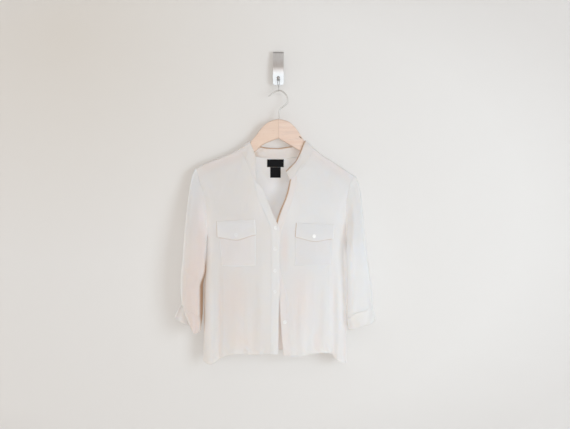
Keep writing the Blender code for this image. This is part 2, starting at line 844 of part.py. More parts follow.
def pocket_grid(side):
    shape = POCKET[side]
    lift = CLOTH / 2 + LAY_GAP + POCKET_CLOTH / 2
    return patch_grid(side, shape, (shape["top"], shape["top"]), POCKET_ROWS, lambda down: lift)


def flap_grid(side):
    """The flap is sewn to the front above the pocket and rises over it within its first row."""
    sewn = CLOTH / 2 + LAY_GAP + POCKET_CLOTH / 2
    over = sewn + POCKET_CLOTH + LAY_GAP

    def lift_at(down):
        return mix(sewn, over, smooth(down * FLAP_ROWS))

    return patch_grid(side, FLAP[side], FLAP[side]["high"], FLAP_ROWS, lift_at)


def label_grid(x_range, z_range, columns, rows):
    lift = CLOTH / 2 + SEAM_GAP + LABEL_CLOTH / 2
    grid = []
    for k in range(rows + 1):
        z = mix(*z_range, k / rows)
        grid.append([back_point(mix(*x_range, j / columns), z, lift) for j in range(columns + 1)])
    return grid


# ---------------------------------------------------------------- making objects


def material(name):
    found = bpy.data.materials.get(name)
    if found:
        return found
    colour, roughness, metallic = COLOURS[name]
    made = bpy.data.materials.new(name)
    made.use_nodes = True
    shader = made.node_tree.nodes["Principled BSDF"]
    shader.inputs["Base Color"].default_value = (*colour, 1)
    shader.inputs["Roughness"].default_value = roughness
    shader.inputs["Metallic"].default_value = metallic
    made.diffuse_color = (*colour, 1)
    return made


def add_object(collection, name, data, finish):
    obj = bpy.data.objects.new(name, data)
    data.materials.append(material(finish))
    collection.objects.link(obj)
    return obj


def thicken(obj, thickness):
    solid = obj.modifiers.new("Wall", "SOLIDIFY")
    solid.thickness = thickness
    solid.offset = 0
    solid.use_even_offset = True


def add_cloth(collection, name, grid, thickness, finish="silk", closed=False):
    """A sheet through rows of points, closed to a tube where the rows are rings, with a wall."""
    mesh = bpy.data.meshes.new(name)
    sheet = bmesh.new()
    rows = [[sheet.verts.new(point) for point in row] for row in grid]
    for upper, lower in zip(rows, rows[1:]):
        ends = list(range(len(upper)))
        pairs = list(zip(ends, ends[1:])) + ([(ends[-1], 0)] if closed else [])
        for i, j in pairs:
            sheet.faces.new((upper[i], lower[i], lower[j], upper[j]))
    for face in sheet.faces:
        face.smooth = True
    sheet.to_mesh(mesh)
    sheet.free()
    obj = add_object(collection, name, mesh, finish)
    thicken(obj, thickness)
    return obj


def add_wire(collection, name, points, radius, finish, cyclic=False):
    curve = bpy.data.curves.new(name, "CURVE")
    curve.dimensions = "3D"
    curve.bevel_depth = radius
    curve.bevel_resolution = 2
    curve.use_fill_caps = not cyclic
    spline = curve.splines.new("POLY")
    spline.points.add(len(points) - 1)
    for place, point in zip(spline.points, points):
        place.co = (*point, 1)
    spline.use_cyclic_u = cyclic
    return add_object(collection, name, curve, finish)


def add_disc(collection, name, centre, normal, radius, thickness, finish, rim_width):
    """A button or a pin: a cylinder with softened rims, its axis along the normal."""
    mesh = bpy.data.meshes.new(name)
    shape = bmesh.new()
    bmesh.ops.create_cone(
        shape, cap_ends=True, segments=DISC_SIDES, radius1=radius, radius2=radius, depth=thickness
    )
    shape.to_mesh(mesh)
    shape.free()
    mesh.shade_smooth()
    mesh.set_sharp_from_angle(angle=math.radians(40))
    obj = add_object(collection, name, mesh, finish)
    obj.location = centre
    obj.rotation_euler = Vector(normal).to_track_quat("Z", "Y").to_euler()
    rim = obj.modifiers.new("Rim", "BEVEL")
    rim.width = rim_width
    rim.segments = 1


def smooth_route(knots, per_span):
    """Points on a smooth curve through the knots."""
    points = []
    padded = [knots[0], *knots, knots[-1]]
    for before, start, end, after in zip(padded, padded[1:], padded[2:], padded[3:]):
        for i in range(per_span):
            points.append(hermite(start, end, (end - before) / 2, (after - start) / 2, i / per_span))
    return [*points, knots[-1]]


# ---------------------------------------------------------------- the sub-parts


def add_wall_hook(collection):
    """A folded strip: a flat leg on the wall, a rolled top, and a front leg that leans out and then hangs."""
    half = STRIP_THICK / 2
    bend = (abs(STRIP_LIP_Y) - half) / 2
    profile = [(-half, z) for z in (STRIP_BACK_BOTTOM, 0, STRIP_BACK_TOP)]
    for i in range(1, 8):
        angle = math.pi * i / 8
        profile.append((-half - bend + bend * math.cos(angle), STRIP_BACK_TOP + bend * math.sin(angle)))
    profile.append((STRIP_LIP_Y, STRIP_BACK_TOP))
    profile.append((STRIP_FRONT_Y, STRIP_KNEE_Z))
    for i in range(5):
        rise = STRIP_CORNER * (1 - math.sin(math.pi / 2 * i / 4))
        profile.append((STRIP_FRONT_Y, STRIP_TIP_Z + rise))
    grid = []
    for y, z in profile:
        above_tip = z - STRIP_TIP_Z if y == STRIP_FRONT_Y else STRIP_CORNER
        inset = STRIP_CORNER - min(above_tip, STRIP_CORNER)
        half_width = STRIP_WIDTH / 2 - STRIP_CORNER + math.sqrt(STRIP_CORNER**2 - inset**2)
        grid.append([Vector((side * half_width, y, z)) for side in (-1, 1)])
    strip = add_cloth(collection, "wall_hook", grid, STRIP_THICK, "steel")
    strip.data.set_sharp_from_angle(angle=math.radians(40))

    shaft_start = STRIP_FRONT_Y - half - SEAM_GAP
    length = shaft_start - PIN_TIP_Y
    middle = (0, (shaft_start + PIN_TIP_Y) / 2, PIN_Z)
    add_disc(collection, "hook_pin", middle, (0, -1, 0), PIN_RADIUS, length, "steel", PIN_RIM)
    head = (0, PIN_TIP_Y - SEAM_GAP - PIN_HEAD_LENGTH / 2, PIN_Z)
    add_disc(collection, "pin_head", head, (0, -1, 0), PIN_HEAD_RADIUS, PIN_HEAD_LENGTH, "steel", PIN_RIM)


def add_wire_loop(collection):
    """A closed loop over the pin that turns a quarter on its way down, so that its foot carries the hook."""
    top = PIN_Z + PIN_RADIUS + SEAM_GAP + LOOP_WIRE
    foot = HOOK_ROUTE[4][1] - HOOK_WIRE - SEAM_GAP - LOOP_WIRE
    upper_half = PIN_RADIUS + SEAM_GAP + LOOP_WIRE
    lower_half = HOOK_WIRE + SEAM_GAP + LOOP_WIRE
    points = []
    for i in range(LOOP_POINTS):
        turn = 2 * math.pi * i / LOOP_POINTS
        down = (1 - math.cos(turn)) / 2
        z = mix(top, foot, down)
        near_top = min((top - z) / upper_half, 1)
        near_foot = min((z - foot) / lower_half, 1)
        width = mix(upper_half, lower_half, smooth(down))
        width *= math.sqrt(1 - (1 - near_top) ** 2) * math.sqrt(1 - (1 - near_foot) ** 2)
        quarter = math.pi / 2 * smooth((down - TWIST_START) / TWIST_REACH)
        reach = width if turn < math.pi else -width
        points.append((LOOP_LEAN * down + reach * math.cos(quarter), HANGER_Y + reach * math.sin(quarter), z))
    add_wire(collection, "wire_loop", points, LOOP_WIRE, "steel", cyclic=True)


def hanger_top(x):
    """The wood's upper edge: its crown over the neck, and further out just under the cloth."""
    if HANGER_CROWN.keys[0] <= x <= HANGER_CROWN.keys[-1]:
        return HANGER_CROWN.at(x, "z")
    reach = 0.001
    slope = (RIDGE.at(x + reach, "z") - RIDGE.at(x - reach, "z")) / (2 * reach)
    return RIDGE.at(x, "z") - WOOD_CLEAR * math.hypot(1, slope)


def arm_outline(side):
    """Once round a hanger arm in the front view, as x and z, from the middle joint."""
    end = ARM_END_X[side]
    along = [mix(HANGER_MIDDLE_X + side * SEAM_GAP / 2, end, i / ARM_STEPS) for i in range(ARM_STEPS + 1)]
    low, high = HANGER_UNDER.at(end, "z"), hanger_top(end)
    half = (high - low) / 2
    outline = [(x, hanger_top(x)) for x in along]
    for i in range(1, ARM_END_STEPS):
        angle = math.pi / 2 - math.pi * i / ARM_END_STEPS
        x = end + side * half * ARM_END_ROUND * math.cos(angle)
        outline.append((x, (low + high) / 2 + half * math.sin(angle)))
    outline += [(x, HANGER_UNDER.at(x, "z")) for x in reversed(along)]
    return outline


def add_hanger(collection):
    """Two boards that meet in the middle, and a wire hook over their joint."""
    knots = [Vector((x, HANGER_Y, z)) for x, z in HOOK_ROUTE]
    add_wire(collection, "hanger_hook", smooth_route(knots, 2), HOOK_WIRE, "steel")
    for name, side in (("hanger_arm_right", -1), ("hanger_arm_left", 1)):
        mesh = bpy.data.meshes.new(name)
        board = bmesh.new()
        face = board.faces.new([board.verts.new((x, HANGER_Y, z)) for x, z in arm_outline(side)])
        board.normal_update()
        if face.normal.y > 0:
            face.normal_flip()
        board.to_mesh(mesh)
        board.free()
        arm = add_object(collection, name, mesh, "wood")
        thicken(arm, WOOD_THICK)
        rounded = arm.modifiers.new("Rounded", "BEVEL")
        rounded.width = WOOD_ROUND
        rounded.segments = 2
        rounded.limit_method = "ANGLE"
        rounded.angle_limit = math.radians(60)


def add_button(collection, name, side, place, lift):
    """A button on a front, its underside lifted off the front's middle surface."""
    outwards = front_point(side, *place, lift) - front_point(side, *place)
    centre = front_point(side, *place, lift + BUTTON_THICK / 2)
    add_disc(collection, name, centre, outwards, BUTTON_RADIUS, BUTTON_THICK, "pearl", BUTTON_RIM)


def add_blouse(collection):
    add_cloth(collection, "back", back_grid(), CLOTH)
    add_cloth(collection, "collar_stand", collar_grid(), DOUBLE_CLOTH)
    add_cloth(collection, "label", label_grid(LABEL_X, (LABEL_TOP, LABEL_BOTTOM), 4, 2), LABEL_CLOTH, "tape")
    tab = label_grid(TAB_X, (LABEL_BOTTOM - SEAM_GAP, TAB_BOTTOM), 3, 2)
    add_cloth(collection, "size_tab", tab, LABEL_CLOTH, "tape")
    for side, wearer in ((-1, "right"), (1, "left")):
        add_cloth(collection, f"front_{wearer}", front_grid(side), CLOTH)
        add_cloth(collection, f"front_band_{wearer}", band_grid(side), DOUBLE_CLOTH)
        add_cloth(collection, f"sleeve_{wearer}", sleeve_grid(side), CLOTH, closed=True)
        add_cloth(collection, f"cuff_{wearer}", cuff_grid(side), DOUBLE_CLOTH)
        add_cloth(collection, f"pocket_{wearer}", pocket_grid(side), POCKET_CLOTH)
        add_cloth(collection, f"pocket_flap_{wearer}", flap_grid(side), POCKET_CLOTH)
        flap_face = CLOTH / 2 + 2 * LAY_GAP + 2 * POCKET_CLOTH
        add_button(collection, f"flap_button_{wearer}", side, FLAP_BUTTON[side], flap_face + LAY_GAP)
    band_face = DOUBLE_CLOTH / 2 + LAY_GAP
    for i, place in enumerate(PLACKET_BUTTONS):
        add_button(collection, f"front_button_{i + 1}", -1, place, band_face)
    add_button(collection, "front_button_5", 1, LOOSE_BUTTON, band_face)


def main():
    for obj in list(bpy.data.objects):
        bpy.data.objects.remove(obj, do_unlink=True)
    collection = bpy.data.collections.new("silk_blouse_on_hanger")
    bpy.context.scene.collection.children.link(collection)
    add_wall_hook(collection)
    add_wire_loop(collection)
    add_hanger(collection)
    add_blouse(collection)


main()
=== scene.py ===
"""A silk blouse on a wooden hanger and its steel wall hook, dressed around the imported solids.

Metres, +Z up. The wall is the plane Y = 0 and the blouse faces -Y. Side -1 is the wearer's right, which is at
-X and laps on top, and side 1 is the wearer's left.

The cloth follows the same few surfaces as the solids: a front and a back surface that hang from a shoulder
ridge over the hanger, and rings for the sleeves. They are read at a fine step here, with creases, seams, hems
and stitches added. Most functions work on numpy arrays of places.
"""

import math

import bpy
import numpy as np
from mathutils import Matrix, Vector


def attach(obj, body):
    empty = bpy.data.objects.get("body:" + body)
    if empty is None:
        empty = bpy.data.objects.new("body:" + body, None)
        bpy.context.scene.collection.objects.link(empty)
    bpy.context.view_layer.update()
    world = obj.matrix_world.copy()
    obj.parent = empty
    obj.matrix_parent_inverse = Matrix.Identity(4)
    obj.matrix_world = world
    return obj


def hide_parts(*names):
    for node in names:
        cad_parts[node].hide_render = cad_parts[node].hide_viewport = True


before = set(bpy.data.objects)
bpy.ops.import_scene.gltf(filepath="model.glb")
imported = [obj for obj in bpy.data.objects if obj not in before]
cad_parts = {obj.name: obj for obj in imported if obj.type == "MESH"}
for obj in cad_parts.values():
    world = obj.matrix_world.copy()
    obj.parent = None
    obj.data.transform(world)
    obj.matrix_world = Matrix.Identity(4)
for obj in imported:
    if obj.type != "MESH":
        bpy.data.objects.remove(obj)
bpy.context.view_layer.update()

MM = 0.001
SIDES = ((-1, "right"), (1, "left"))

# Cloth
SILK = 0.00045  # thickness of one layer
DOUBLE_SILK = 0.0006  # collar, bands and cuffs
PATCH_SILK = 0.0004  # pockets and flaps
TAPE = 0.0006
TAPE_LIFT = 0.0011  # middle of a label over the middle of the back
POCKET_SIZE = (0.10, 0.107)
FLAP_SIZE = (0.104, 0.045)
PATCH_SEAM = 0.0022  # from a patch's edge in to its stitches
PATCH_LIFT = 0.0013  # middle of a pocket over the middle of the front
FLAP_LIFT = 0.0034
BAND_WIDTH = 0.024
BAND_FACE = 0.0013  # underside of a button over the middle of its band

# Hanger and its plane
HANGER_Y = -0.026
WOOD_THICK = 0.013
WOOD_ROUND = 0.004  # radius of the boards' long edges
WOOD_CLEAR = 0.0023  # from the wood up to the middle of the cloth over it
ARM_END_ROUND = 0.5  # how far a board's end is rounded, in half heights
RIDGE_HALF = 0.009  # from the shoulder ridge out to the cloth that hangs in front of it or behind it
RIDGE_RISE = 0.006  # the drop in which the cloth turns over the ridge

# Wall hook
STRIP_WIDTH = 0.030
STRIP_THICK = 0.002
STRIP_CORNER = 0.006
STRIP_BACK_TOP = 0.040
STRIP_BACK_BOTTOM = -0.040
STRIP_LIP_Y = -0.013
STRIP_KNEE_Z = -0.003
STRIP_FRONT_Y = -0.0195
STRIP_TIP_Z = -0.0485
PIN_Z = -0.031
PIN_RADIUS = 0.002
LOOP_WIRE = 0.0006
LOOP_LEAN = 0.0014  # sideways, from the pin down to the hook
TWIST_START = 0.15  # where the loop starts its quarter turn, as a share of its height
TWIST_REACH = 0.65
HOOK_WIRE = 0.00175
PIN_GAP = 0.0003

# Blouse
UNDERARM_Z = {-1: -0.467, 1: -0.480}
SHOULDER_TIP_X = {-1: -0.2265, 1: 0.2104}
NECK_POINT_X = {-1: -0.1033, 1: 0.0984}
NOTCH = {-1: (-0.0582, -0.3216), 1: (0.0315, -0.3140)}
BAND_CORNER_Z = {-1: -0.3005, 1: -0.2965}
CORNER_SHARE = 0.332  # how far down the armhole's rows lie the ones that meet that corner
LAP_LIFT = 0.0022  # how far the right front rises over the left one at its band
LAP_REACH = 0.050
LAP_TOP_Z = -0.33
LAP_HEIGHT = 0.07
HEM_Z = -0.82
ROUNDNESS = 2.6  # of the body's section: 2 is an ellipse, and more is squarer
BUTTON_RADIUS = 0.005
BUTTON_THICK = 0.0018
UNDER_BAND = -0.022  # how far a front reaches under its band, as a share of its width

# How the turns round a sleeve are shared out along its armhole, from the ridge to the underarm
SEAM_STEPS = (0, 0.006, 0.018, 0.04, 0.085, 0.15, 0.24, 0.332, 0.45, 0.58, 0.71, 0.82, 0.91, 0.965, 1)


def hermite(start, end, start_slope, end_slope, t):
    """The cubic curve between two numbers or points that leaves and arrives with the given slopes."""
    return (
        start * (1 - t) ** 2 * (1 + 2 * t)
        + end * t * t * (3 - 2 * t)
        + start_slope * t * (1 - t) ** 2
        - end_slope * t * t * (1 - t)
    )


def smooth(t):
    t = np.clip(t, 0, 1)
    return t * t * (3 - 2 * t)


def mix(a, b, t):
    return a + (b - a) * t


def hump(away, half):
    """1 at no distance, falling softly to 0 at half."""
    return (1 - np.minimum(np.abs(away) / half, 1) ** 2) ** 2


class Table:
    """Rows of named columns. Each is read by the first one, on a curve that doesn't overshoot."""

    def __init__(self, columns, *rows):
        self.names = columns.split()
        self.values = np.array(sorted(rows), float).T
        self.keys = self.values[0]
        rises = np.diff(self.values, axis=1) / np.diff(self.keys)
        before, after = rises[:, :-1], rises[:, 1:]
        same_way = before * after > 0
        inner = np.where(same_way, 2 * before * after / np.where(same_way, before + after, 1), 0)
        self.slopes = np.concatenate([rises[:, :1], inner, rises[:, -1:]], axis=1)

    def at(self, key, name):
        values, slopes = (rows[self.names.index(name)] for rows in (self.values, self.slopes))
        key = np.clip(key, self.keys[0], self.keys[-1])
        i = np.clip(np.searchsorted(self.keys, key, side="right") - 1, 0, len(self.keys) - 2)
        step = self.keys[i + 1] - self.keys[i]
        t = (key - self.keys[i]) / step
        return hermite(values[i], values[i + 1], slopes[i] * step, slopes[i + 1] * step, t)

    def point(self, key):
        """The x, y and z columns as one array of points."""
        return np.stack([self.at(key, axis) for axis in "xyz"], axis=-1)


STEP_SHARE = Table("step share", *enumerate(SEAM_STEPS))

# The shoulder line, and its continuation over the neck, which sets the depth of the cloth below it.
RIDGE = Table("x z", (-0.262, -0.2960), (-0.2265, -0.2798), (-0.2085, -0.2693), (-0.1662, -0.2524),
              (-0.1238, -0.2355), (-0.1033, -0.2239), (-0.0600, -0.2040), (0.0000, -0.1930),
              (0.0600, -0.2020), (0.0984, -0.2247), (0.1170, -0.2397), (0.1627, -0.2693), (0.2104, -0.3009),
              (0.2500, -0.3240))
# Half widths of the body at the side seams, and above the underarm at the armhole seams.
SIDE = {
    -1: Table("z x", (-0.280, -0.2265), (-0.323, -0.2154), (-0.355, -0.2035), (-0.386, -0.1980),
              (-0.418, -0.1962), (-0.467, -0.1947), (-0.506, -0.1953), (-0.566, -0.1995), (-0.600, -0.2019),
              (-0.693, -0.2030), (-0.820, -0.2052)),
    1: Table("z x", (-0.301, 0.2104), (-0.323, 0.1990), (-0.376, 0.1870), (-0.428, 0.1850), (-0.480, 0.1860),
             (-0.522, 0.1874), (-0.699, 0.1879), (-0.820, 0.1860)),
}
# How far the cloth has left the hanger's plane, by its drop below the ridge.
DEPTH = Table("drop front back", (0.000, 0.000, 0.000), (0.010, 0.000, 0.000), (0.040, 0.006, 0.001),
              (0.090, 0.016, 0.003), (0.150, 0.027, 0.005), (0.250, 0.039, 0.006), (0.400, 0.047, 0.007),
              (0.600, 0.052, 0.008))
SEAM_Y = Table("z y", (-0.320, HANGER_Y), (-0.467, -0.032), (-0.600, -0.040), (-0.820, -0.042))
# How much wider than the armhole the section runs, which leaves the armhole open front to back.
TURN = Table("share width", (0, 0), (0.09, 0.003), (0.29, 0.014), (0.55, 0.035), (0.82, 0.08), (1, 0.15))
# From the shoulder down: the neck seam, then the outer line of the front band.
INNER = {
    -1: Table("z x", (-0.2239, -0.1033), (-0.2498, -0.0915), (-0.2694, -0.0830), (-0.2869, -0.0757),
              (-0.3005, -0.0709), (-0.3510, -0.0610), (-0.3849, -0.0470), (-0.4231, -0.0306),
              (-0.4477, -0.0215), (-0.4770, -0.0188), (-0.6113, -0.0190), (-0.7799, -0.0222)),
    1: Table("z x", (-0.2247, 0.0984), (-0.2498, 0.0847), (-0.2721, 0.0708), (-0.2965, 0.0530),
             (-0.3332, 0.0500), (-0.3619, 0.0430), (-0.3917, 0.0315), (-0.4177, 0.0215), (-0.4778, 0.0065),
             (-0.5444, 0.0050), (-0.5846, 0.0137), (-0.6222, 0.0245), (-0.6973, 0.0299), (-0.7803, 0.0379)),
}
EDGE = {
    -1: Table("z x", (-0.3216, -0.0582), (-0.3303, -0.0485), (-0.3428, -0.0409), (-0.3772, -0.0267),
              (-0.4163, -0.0098), (-0.4340, -0.0016), (-0.4477, 0.0028), (-0.6113, 0.0030), (-0.6916, 0.0014),
              (-0.7799, -0.0002)),
    1: Table("z x", (-0.3140, 0.0315), (-0.3332, 0.0276), (-0.3619, 0.0197), (-0.3917, 0.0074),
             (-0.4177, -0.0019), (-0.4778, -0.0155), (-0.5444, -0.0170), (-0.5846, -0.0083),
             (-0.6222, 0.0025), (-0.6973, 0.0079), (-0.7803, 0.0159)),
}
FRONT_HEM = Table("x z", (-0.2052, -0.8080), (-0.1838, -0.8143), (-0.1704, -0.8090), (-0.1607, -0.8000),
                  (-0.1437, -0.7917), (-0.1133, -0.7836), (-0.0648, -0.7863), (-0.0271, -0.7810),
                  (0.0428, -0.7890), (0.0859, -0.7850), (0.1357, -0.7810), (0.1451, -0.7850),
                  (0.1545, -0.8000), (0.1801, -0.8106), (0.1860, -0.8120))
BACK_HEM = Table("x z", (-0.2052, -0.8080), (-0.150, -0.792), (0, -0.786), (0.140, -0.792), (0.186, -0.8120))
BACK_NECK = Table("x z", (-0.1033, -0.2239), (-0.085, -0.236), (-0.055, -0.247), (0, -0.252), (0.055, -0.247),
                  (0.080, -0.237), (0.0984, -0.2247))
# Hanging folds: x, the z at which each starts, its half width, and its height, negative for a trough.
FRONT_FOLDS = (
    (-0.185, -0.44, 0.017, 0.007), (-0.160, -0.49, 0.012, -0.007), (-0.112, -0.55, 0.024, 0.005),
    (-0.066, -0.56, 0.020, -0.004), (0.066, -0.56, 0.020, 0.004), (0.106, -0.56, 0.022, -0.004),
    (0.149, -0.49, 0.012, -0.008), (0.172, -0.44, 0.016, 0.007),
)
BACK_FOLDS = (
    (-0.170, -0.42, 0.018, -0.006), (-0.115, -0.36, 0.024, 0.004), (-0.055, -0.46, 0.020, -0.005),
    (0.010, -0.34, 0.026, 0.004), (0.070, -0.44, 0.020, -0.006), (0.120, -0.38, 0.022, 0.004),
    (0.160, -0.46, 0.015, -0.005),
)
FOLD_GROWTH = 0.22  # a fold reaches its height this far below its start
# Rings of the sleeves below the underarm. "out" is the side away from the body.
SLEEVE = {
    -1: Table("down out_x out_z in_x in_z front_y back_y",
              (0, -0.2565, -0.5157, -0.1964, -0.5020, -0.098, -0.013),
              (1, -0.2606, -0.5720, -0.2010, -0.5640, -0.101, -0.012),
              (2, -0.2617, -0.6137, -0.2130, -0.6080, -0.098, -0.012),
              (3, -0.2617, -0.6500, -0.2130, -0.6880, -0.096, -0.014)),
    1: Table("down out_x out_z in_x in_z front_y back_y",
             (0, 0.2398, -0.5130, 0.1876, -0.5070, -0.096, -0.012),
             (1, 0.2480, -0.5750, 0.1880, -0.5650, -0.099, -0.011),
             (2, 0.2530, -0.6137, 0.1882, -0.6100, -0.098, -0.012),
             (3, 0.2555, -0.6490, 0.1885, -0.6900, -0.096, -0.014)),
}
SLEEVE_ROUNDNESS = {-1: 2.8, 1: 3.6}
# How far the right sleeve bulges towards the body behind.
BACK_BULGE = Table("down reach", (0, 0.0), (1, 0.003), (2, 0.009), (3, 0.007))
# How a sleeve leaves its armhole: its slant down at the top, and forwards and back at its two sides.
CAP_DROOP = 0.35
CAP_FORWARD = 0.25
CAP_BACKWARD = 0.10
CAP_ARRIVES = 0.8  # how hard it heads down at the first ring, in lengths of the cap
CAP_LEAVES = Table("share reach", (0, 0.070), (0.5, 0.055), (0.85, 0.020), (1, 0.008))
# The open end of each cuff, all round from the slit's front edge to its back edge.
CUFF_END = {
    -1: Table("degrees x y z", (0, -0.2414, -0.080, -0.6940), (45, -0.2330, -0.094, -0.7120),
              (90, -0.2230, -0.098, -0.7262), (135, -0.2135, -0.084, -0.7250),
              (180, -0.2115, -0.055, -0.7232), (225, -0.2200, -0.028, -0.7215),
              (270, -0.2450, -0.016, -0.7190), (315, -0.2700, -0.022, -0.7080),
              (360, -0.2844, -0.042, -0.6900)),
    1: Table("degrees x y z", (0, 0.2634, -0.068, -0.6926), (45, 0.2500, -0.088, -0.7000),
             (90, 0.2269, -0.098, -0.7072), (135, 0.2020, -0.086, -0.7170), (180, 0.1928, -0.056, -0.7227),
             (225, 0.2020, -0.026, -0.7150), (270, 0.2269, -0.012, -0.7060), (315, 0.2520, -0.022, -0.7000),
             (360, 0.2672, -0.045, -0.6948)),
}
# The collar's free edge, from the notch at the front round to the ridge ("along" is the share of the seam).
COLLAR_FRONT = {
    -1: Table("along x y z", (0, -0.0595, -0.0475, -0.2943), (0.32, -0.0602, -0.0440, -0.2639),
              (0.53, -0.0637, -0.0405, -0.2443), (0.70, -0.0687, -0.0385, -0.2300),
              (0.90, -0.0750, -0.0364, -0.2145), (0.95, -0.0780, -0.0350, -0.2080),
              (1, -0.0806, -0.0260, -0.2050)),
    1: Table("along x y z", (0, 0.0211, -0.0470, -0.2888), (0.22, 0.0340, -0.0440, -0.2760),
             (0.45, 0.0490, -0.0410, -0.2590), (0.70, 0.0605, -0.0385, -0.2345),
             (0.90, 0.0690, -0.0366, -0.2125), (0.95, 0.0722, -0.0352, -0.2060),
             (1, 0.0750, -0.0260, -0.2030)),
}
COLLAR_BACK = {
    -1: Table("along x y z", (0, -0.0806, -0.0260, -0.2050), (0.02, -0.0792, -0.0215, -0.2065),
              (0.06, -0.0762, -0.0172, -0.2085), (0.14, -0.0695, -0.0152, -0.2110),
              (0.3, -0.0560, -0.0142, -0.2160), (0.6, -0.0330, -0.0132, -0.2215),
              (1, 0.0000, -0.0125, -0.2230)),
    1: Table("along x y z", (0, 0.0750, -0.0260, -0.2030), (0.02, 0.0732, -0.0215, -0.2045),
             (0.06, 0.0702, -0.0172, -0.2065), (0.14, 0.0635, -0.0152, -0.2090),
             (0.3, 0.0510, -0.0142, -0.2130), (0.6, 0.0300, -0.0132, -0.2186), (1, 0.0000, -0.0125, -0.2230)),
}
# Corners of the pockets and flaps in the front view, as x and z.
POCKET = {
    -1: {"top": -0.4400, "low": (-0.5475, -0.5448), "point": -0.0030, "outer": (-0.1655, -0.1519),
         "inner": (-0.0605, -0.0599)},
    1: {"top": -0.4480, "low": (-0.5456, -0.5456), "point": -0.0010, "outer": (0.1462, 0.1426),
        "inner": (0.0478, 0.0449)},
}
FLAP = {
    -1: {"high": (-0.4265, -0.4225), "low": (-0.4705, -0.4625), "point": -0.0100, "outer": (-0.1691, -0.1653),
         "inner": (-0.0628, -0.0600)},
    1: {"high": (-0.4355, -0.4303), "low": (-0.4745, -0.4686), "point": -0.0085, "outer": (0.1540, 0.1488),
        "inner": (0.0487, 0.0457)},
}
PLACKET_BUTTONS = ((-0.0072, -0.4446), (-0.0085, -0.5012), (-0.0085, -0.5594), (-0.0088, -0.6154))
LOOSE_BUTTON = (0.0181, -0.6972)
FLAP_BUTTON = {-1: (-0.1132, -0.4640), 1: (0.0967, -0.4670)}
LABEL_X = (-0.0315, 0.0153)
LABEL_TOP = -0.2545
LABEL_BOTTOM = -0.2760
TAB_X = (-0.0226, 0.0066)
TAB_BOTTOM = -0.3056

# Hanger outline: the edges over the neck, and the depth of the arms further out.
HANGER_CROWN = Table("x z", (-0.0778, -0.2081), (-0.0642, -0.1926), (-0.0418, -0.1640), (-0.0243, -0.1510),
                     (0.0009, -0.1445), (0.0261, -0.1500), (0.0474, -0.1675), (0.0610, -0.1875),
                     (0.0746, -0.2095))
HANGER_UNDER = {
    -1: Table("x z", (-0.2120, -0.2955), (-0.1600, -0.2830), (-0.1000, -0.2560), (-0.0639, -0.2339),
              (-0.0476, -0.2185), (-0.0222, -0.2060), (0.0009, -0.1972)),
    1: Table("x z", (0.0009, -0.1972), (0.0300, -0.2148), (0.0600, -0.2330), (0.1000, -0.2610),
             (0.1500, -0.2940), (0.1980, -0.3190)),
}
HANGER_MIDDLE_X = 0.0009
ARM_END_X = {-1: -0.2060, 1: 0.1900}
HOOK_ROUTE = (
    (-0.0268, -0.0812), (-0.0212, -0.0765), (-0.0141, -0.0715), (-0.0060, -0.0662), (0.0014, -0.0643),
    (0.0100, -0.0664), (0.0178, -0.0722), (0.0238, -0.0812), (0.0258, -0.0920), (0.0225, -0.1015),
    (0.0140, -0.1090), (0.0060, -0.1150), (0.0022, -0.1230), (0.0014, -0.1330), (0.0010, -0.1452),
)

# Creases on the fronts, in mm: start x and z, end x and z, half width, height (negative for a trough).
FRONT_CREASES = (
    (-212, -300, -172, -424, 11, 1.3), (-98, -240, -140, -345, 13, -1.1), (-120, -245, -176, -392, 9, 0.8),
    (-76, -305, -98, -424, 9, -0.9), (-60, -345, -46, -425, 6, 0.7), (-186, -380, -180, -560, 9, 1.2),
    (-153, -548, -158, -770, 7, -1.3), (-134, -556, -131, -742, 8, 1.1), (-105, -541, -103, -640, 4, -0.9),
    (-88, -556, -80, -760, 9, 1.2), (-66, -552, -50, -700, 6, -0.9), (-46, -470, -40, -640, 6, 0.6),
    (-176, -600, -184, -806, 8, 1.8), (-112, -764, -66, -777, 4, 1.8), (-92, -748, -62, -783, 5, -2.0),
    (-60, -771, -28, -774, 4, 1.6), (-44, -752, -34, -786, 4, -1.5), (-130, -770, -108, -786, 4, 1.5),
    (-160, -775, -146, -800, 5, 1.8), (196, -322, 150, -430, 12, 1.2), (92, -238, 138, -350, 12, -1.1),
    (118, -262, 168, -372, 10, 0.9), (60, -300, 82, -430, 9, -0.8), (38, -345, 34, -430, 6, 0.8),
    (178, -400, 172, -600, 8, 1.3), (58, -558, 50, -772, 7, -1.2), (72, -560, 78, -700, 8, 1.0),
    (92, -556, 86, -742, 6, -0.9), (118, -590, 110, -788, 9, -1.7), (134, -560, 128, -720, 7, 1.0),
    (150, -640, 144, -800, 10, 2.2), (32, -590, 44, -752, 6, 0.9), (98, -768, 142, -781, 5, 1.7),
    (124, -744, 134, -786, 5, -1.8), (142, -772, 153, -802, 4, -1.8), (62, -762, 84, -786, 5, 1.6),
    (168, -770, 176, -808, 5, 1.7),
)
# The same on the back, where a positive height stands out to the back.
BACK_CREASES = (
    (-190, -320, -130, -430, 13, 1.4), (178, -335, 120, -440, 13, 1.3), (-120, -262, -70, -380, 15, -1.3),
    (110, -262, 62, -372, 15, -1.2), (-58, -262, -20, -330, 9, 0.9), (52, -262, 18, -326, 9, 0.8),
    (-150, -470, -146, -780, 9, -1.6), (-92, -430, -84, -770, 11, 1.6), (-30, -470, -24, -700, 9, 1.3),
    (-8, -560, 2, -780, 8, -1.2), (44, -420, 38, -760, 10, 1.4), (96, -480, 104, -784, 9, -1.6),
    (142, -470, 136, -740, 9, 1.3), (-120, -760, -70, -782, 5, 1.8), (20, -764, 66, -778, 5, -1.7),
    (120, -756, 146, -790, 5, 1.9), (-176, -560, -180, -800, 8, 1.4),
)
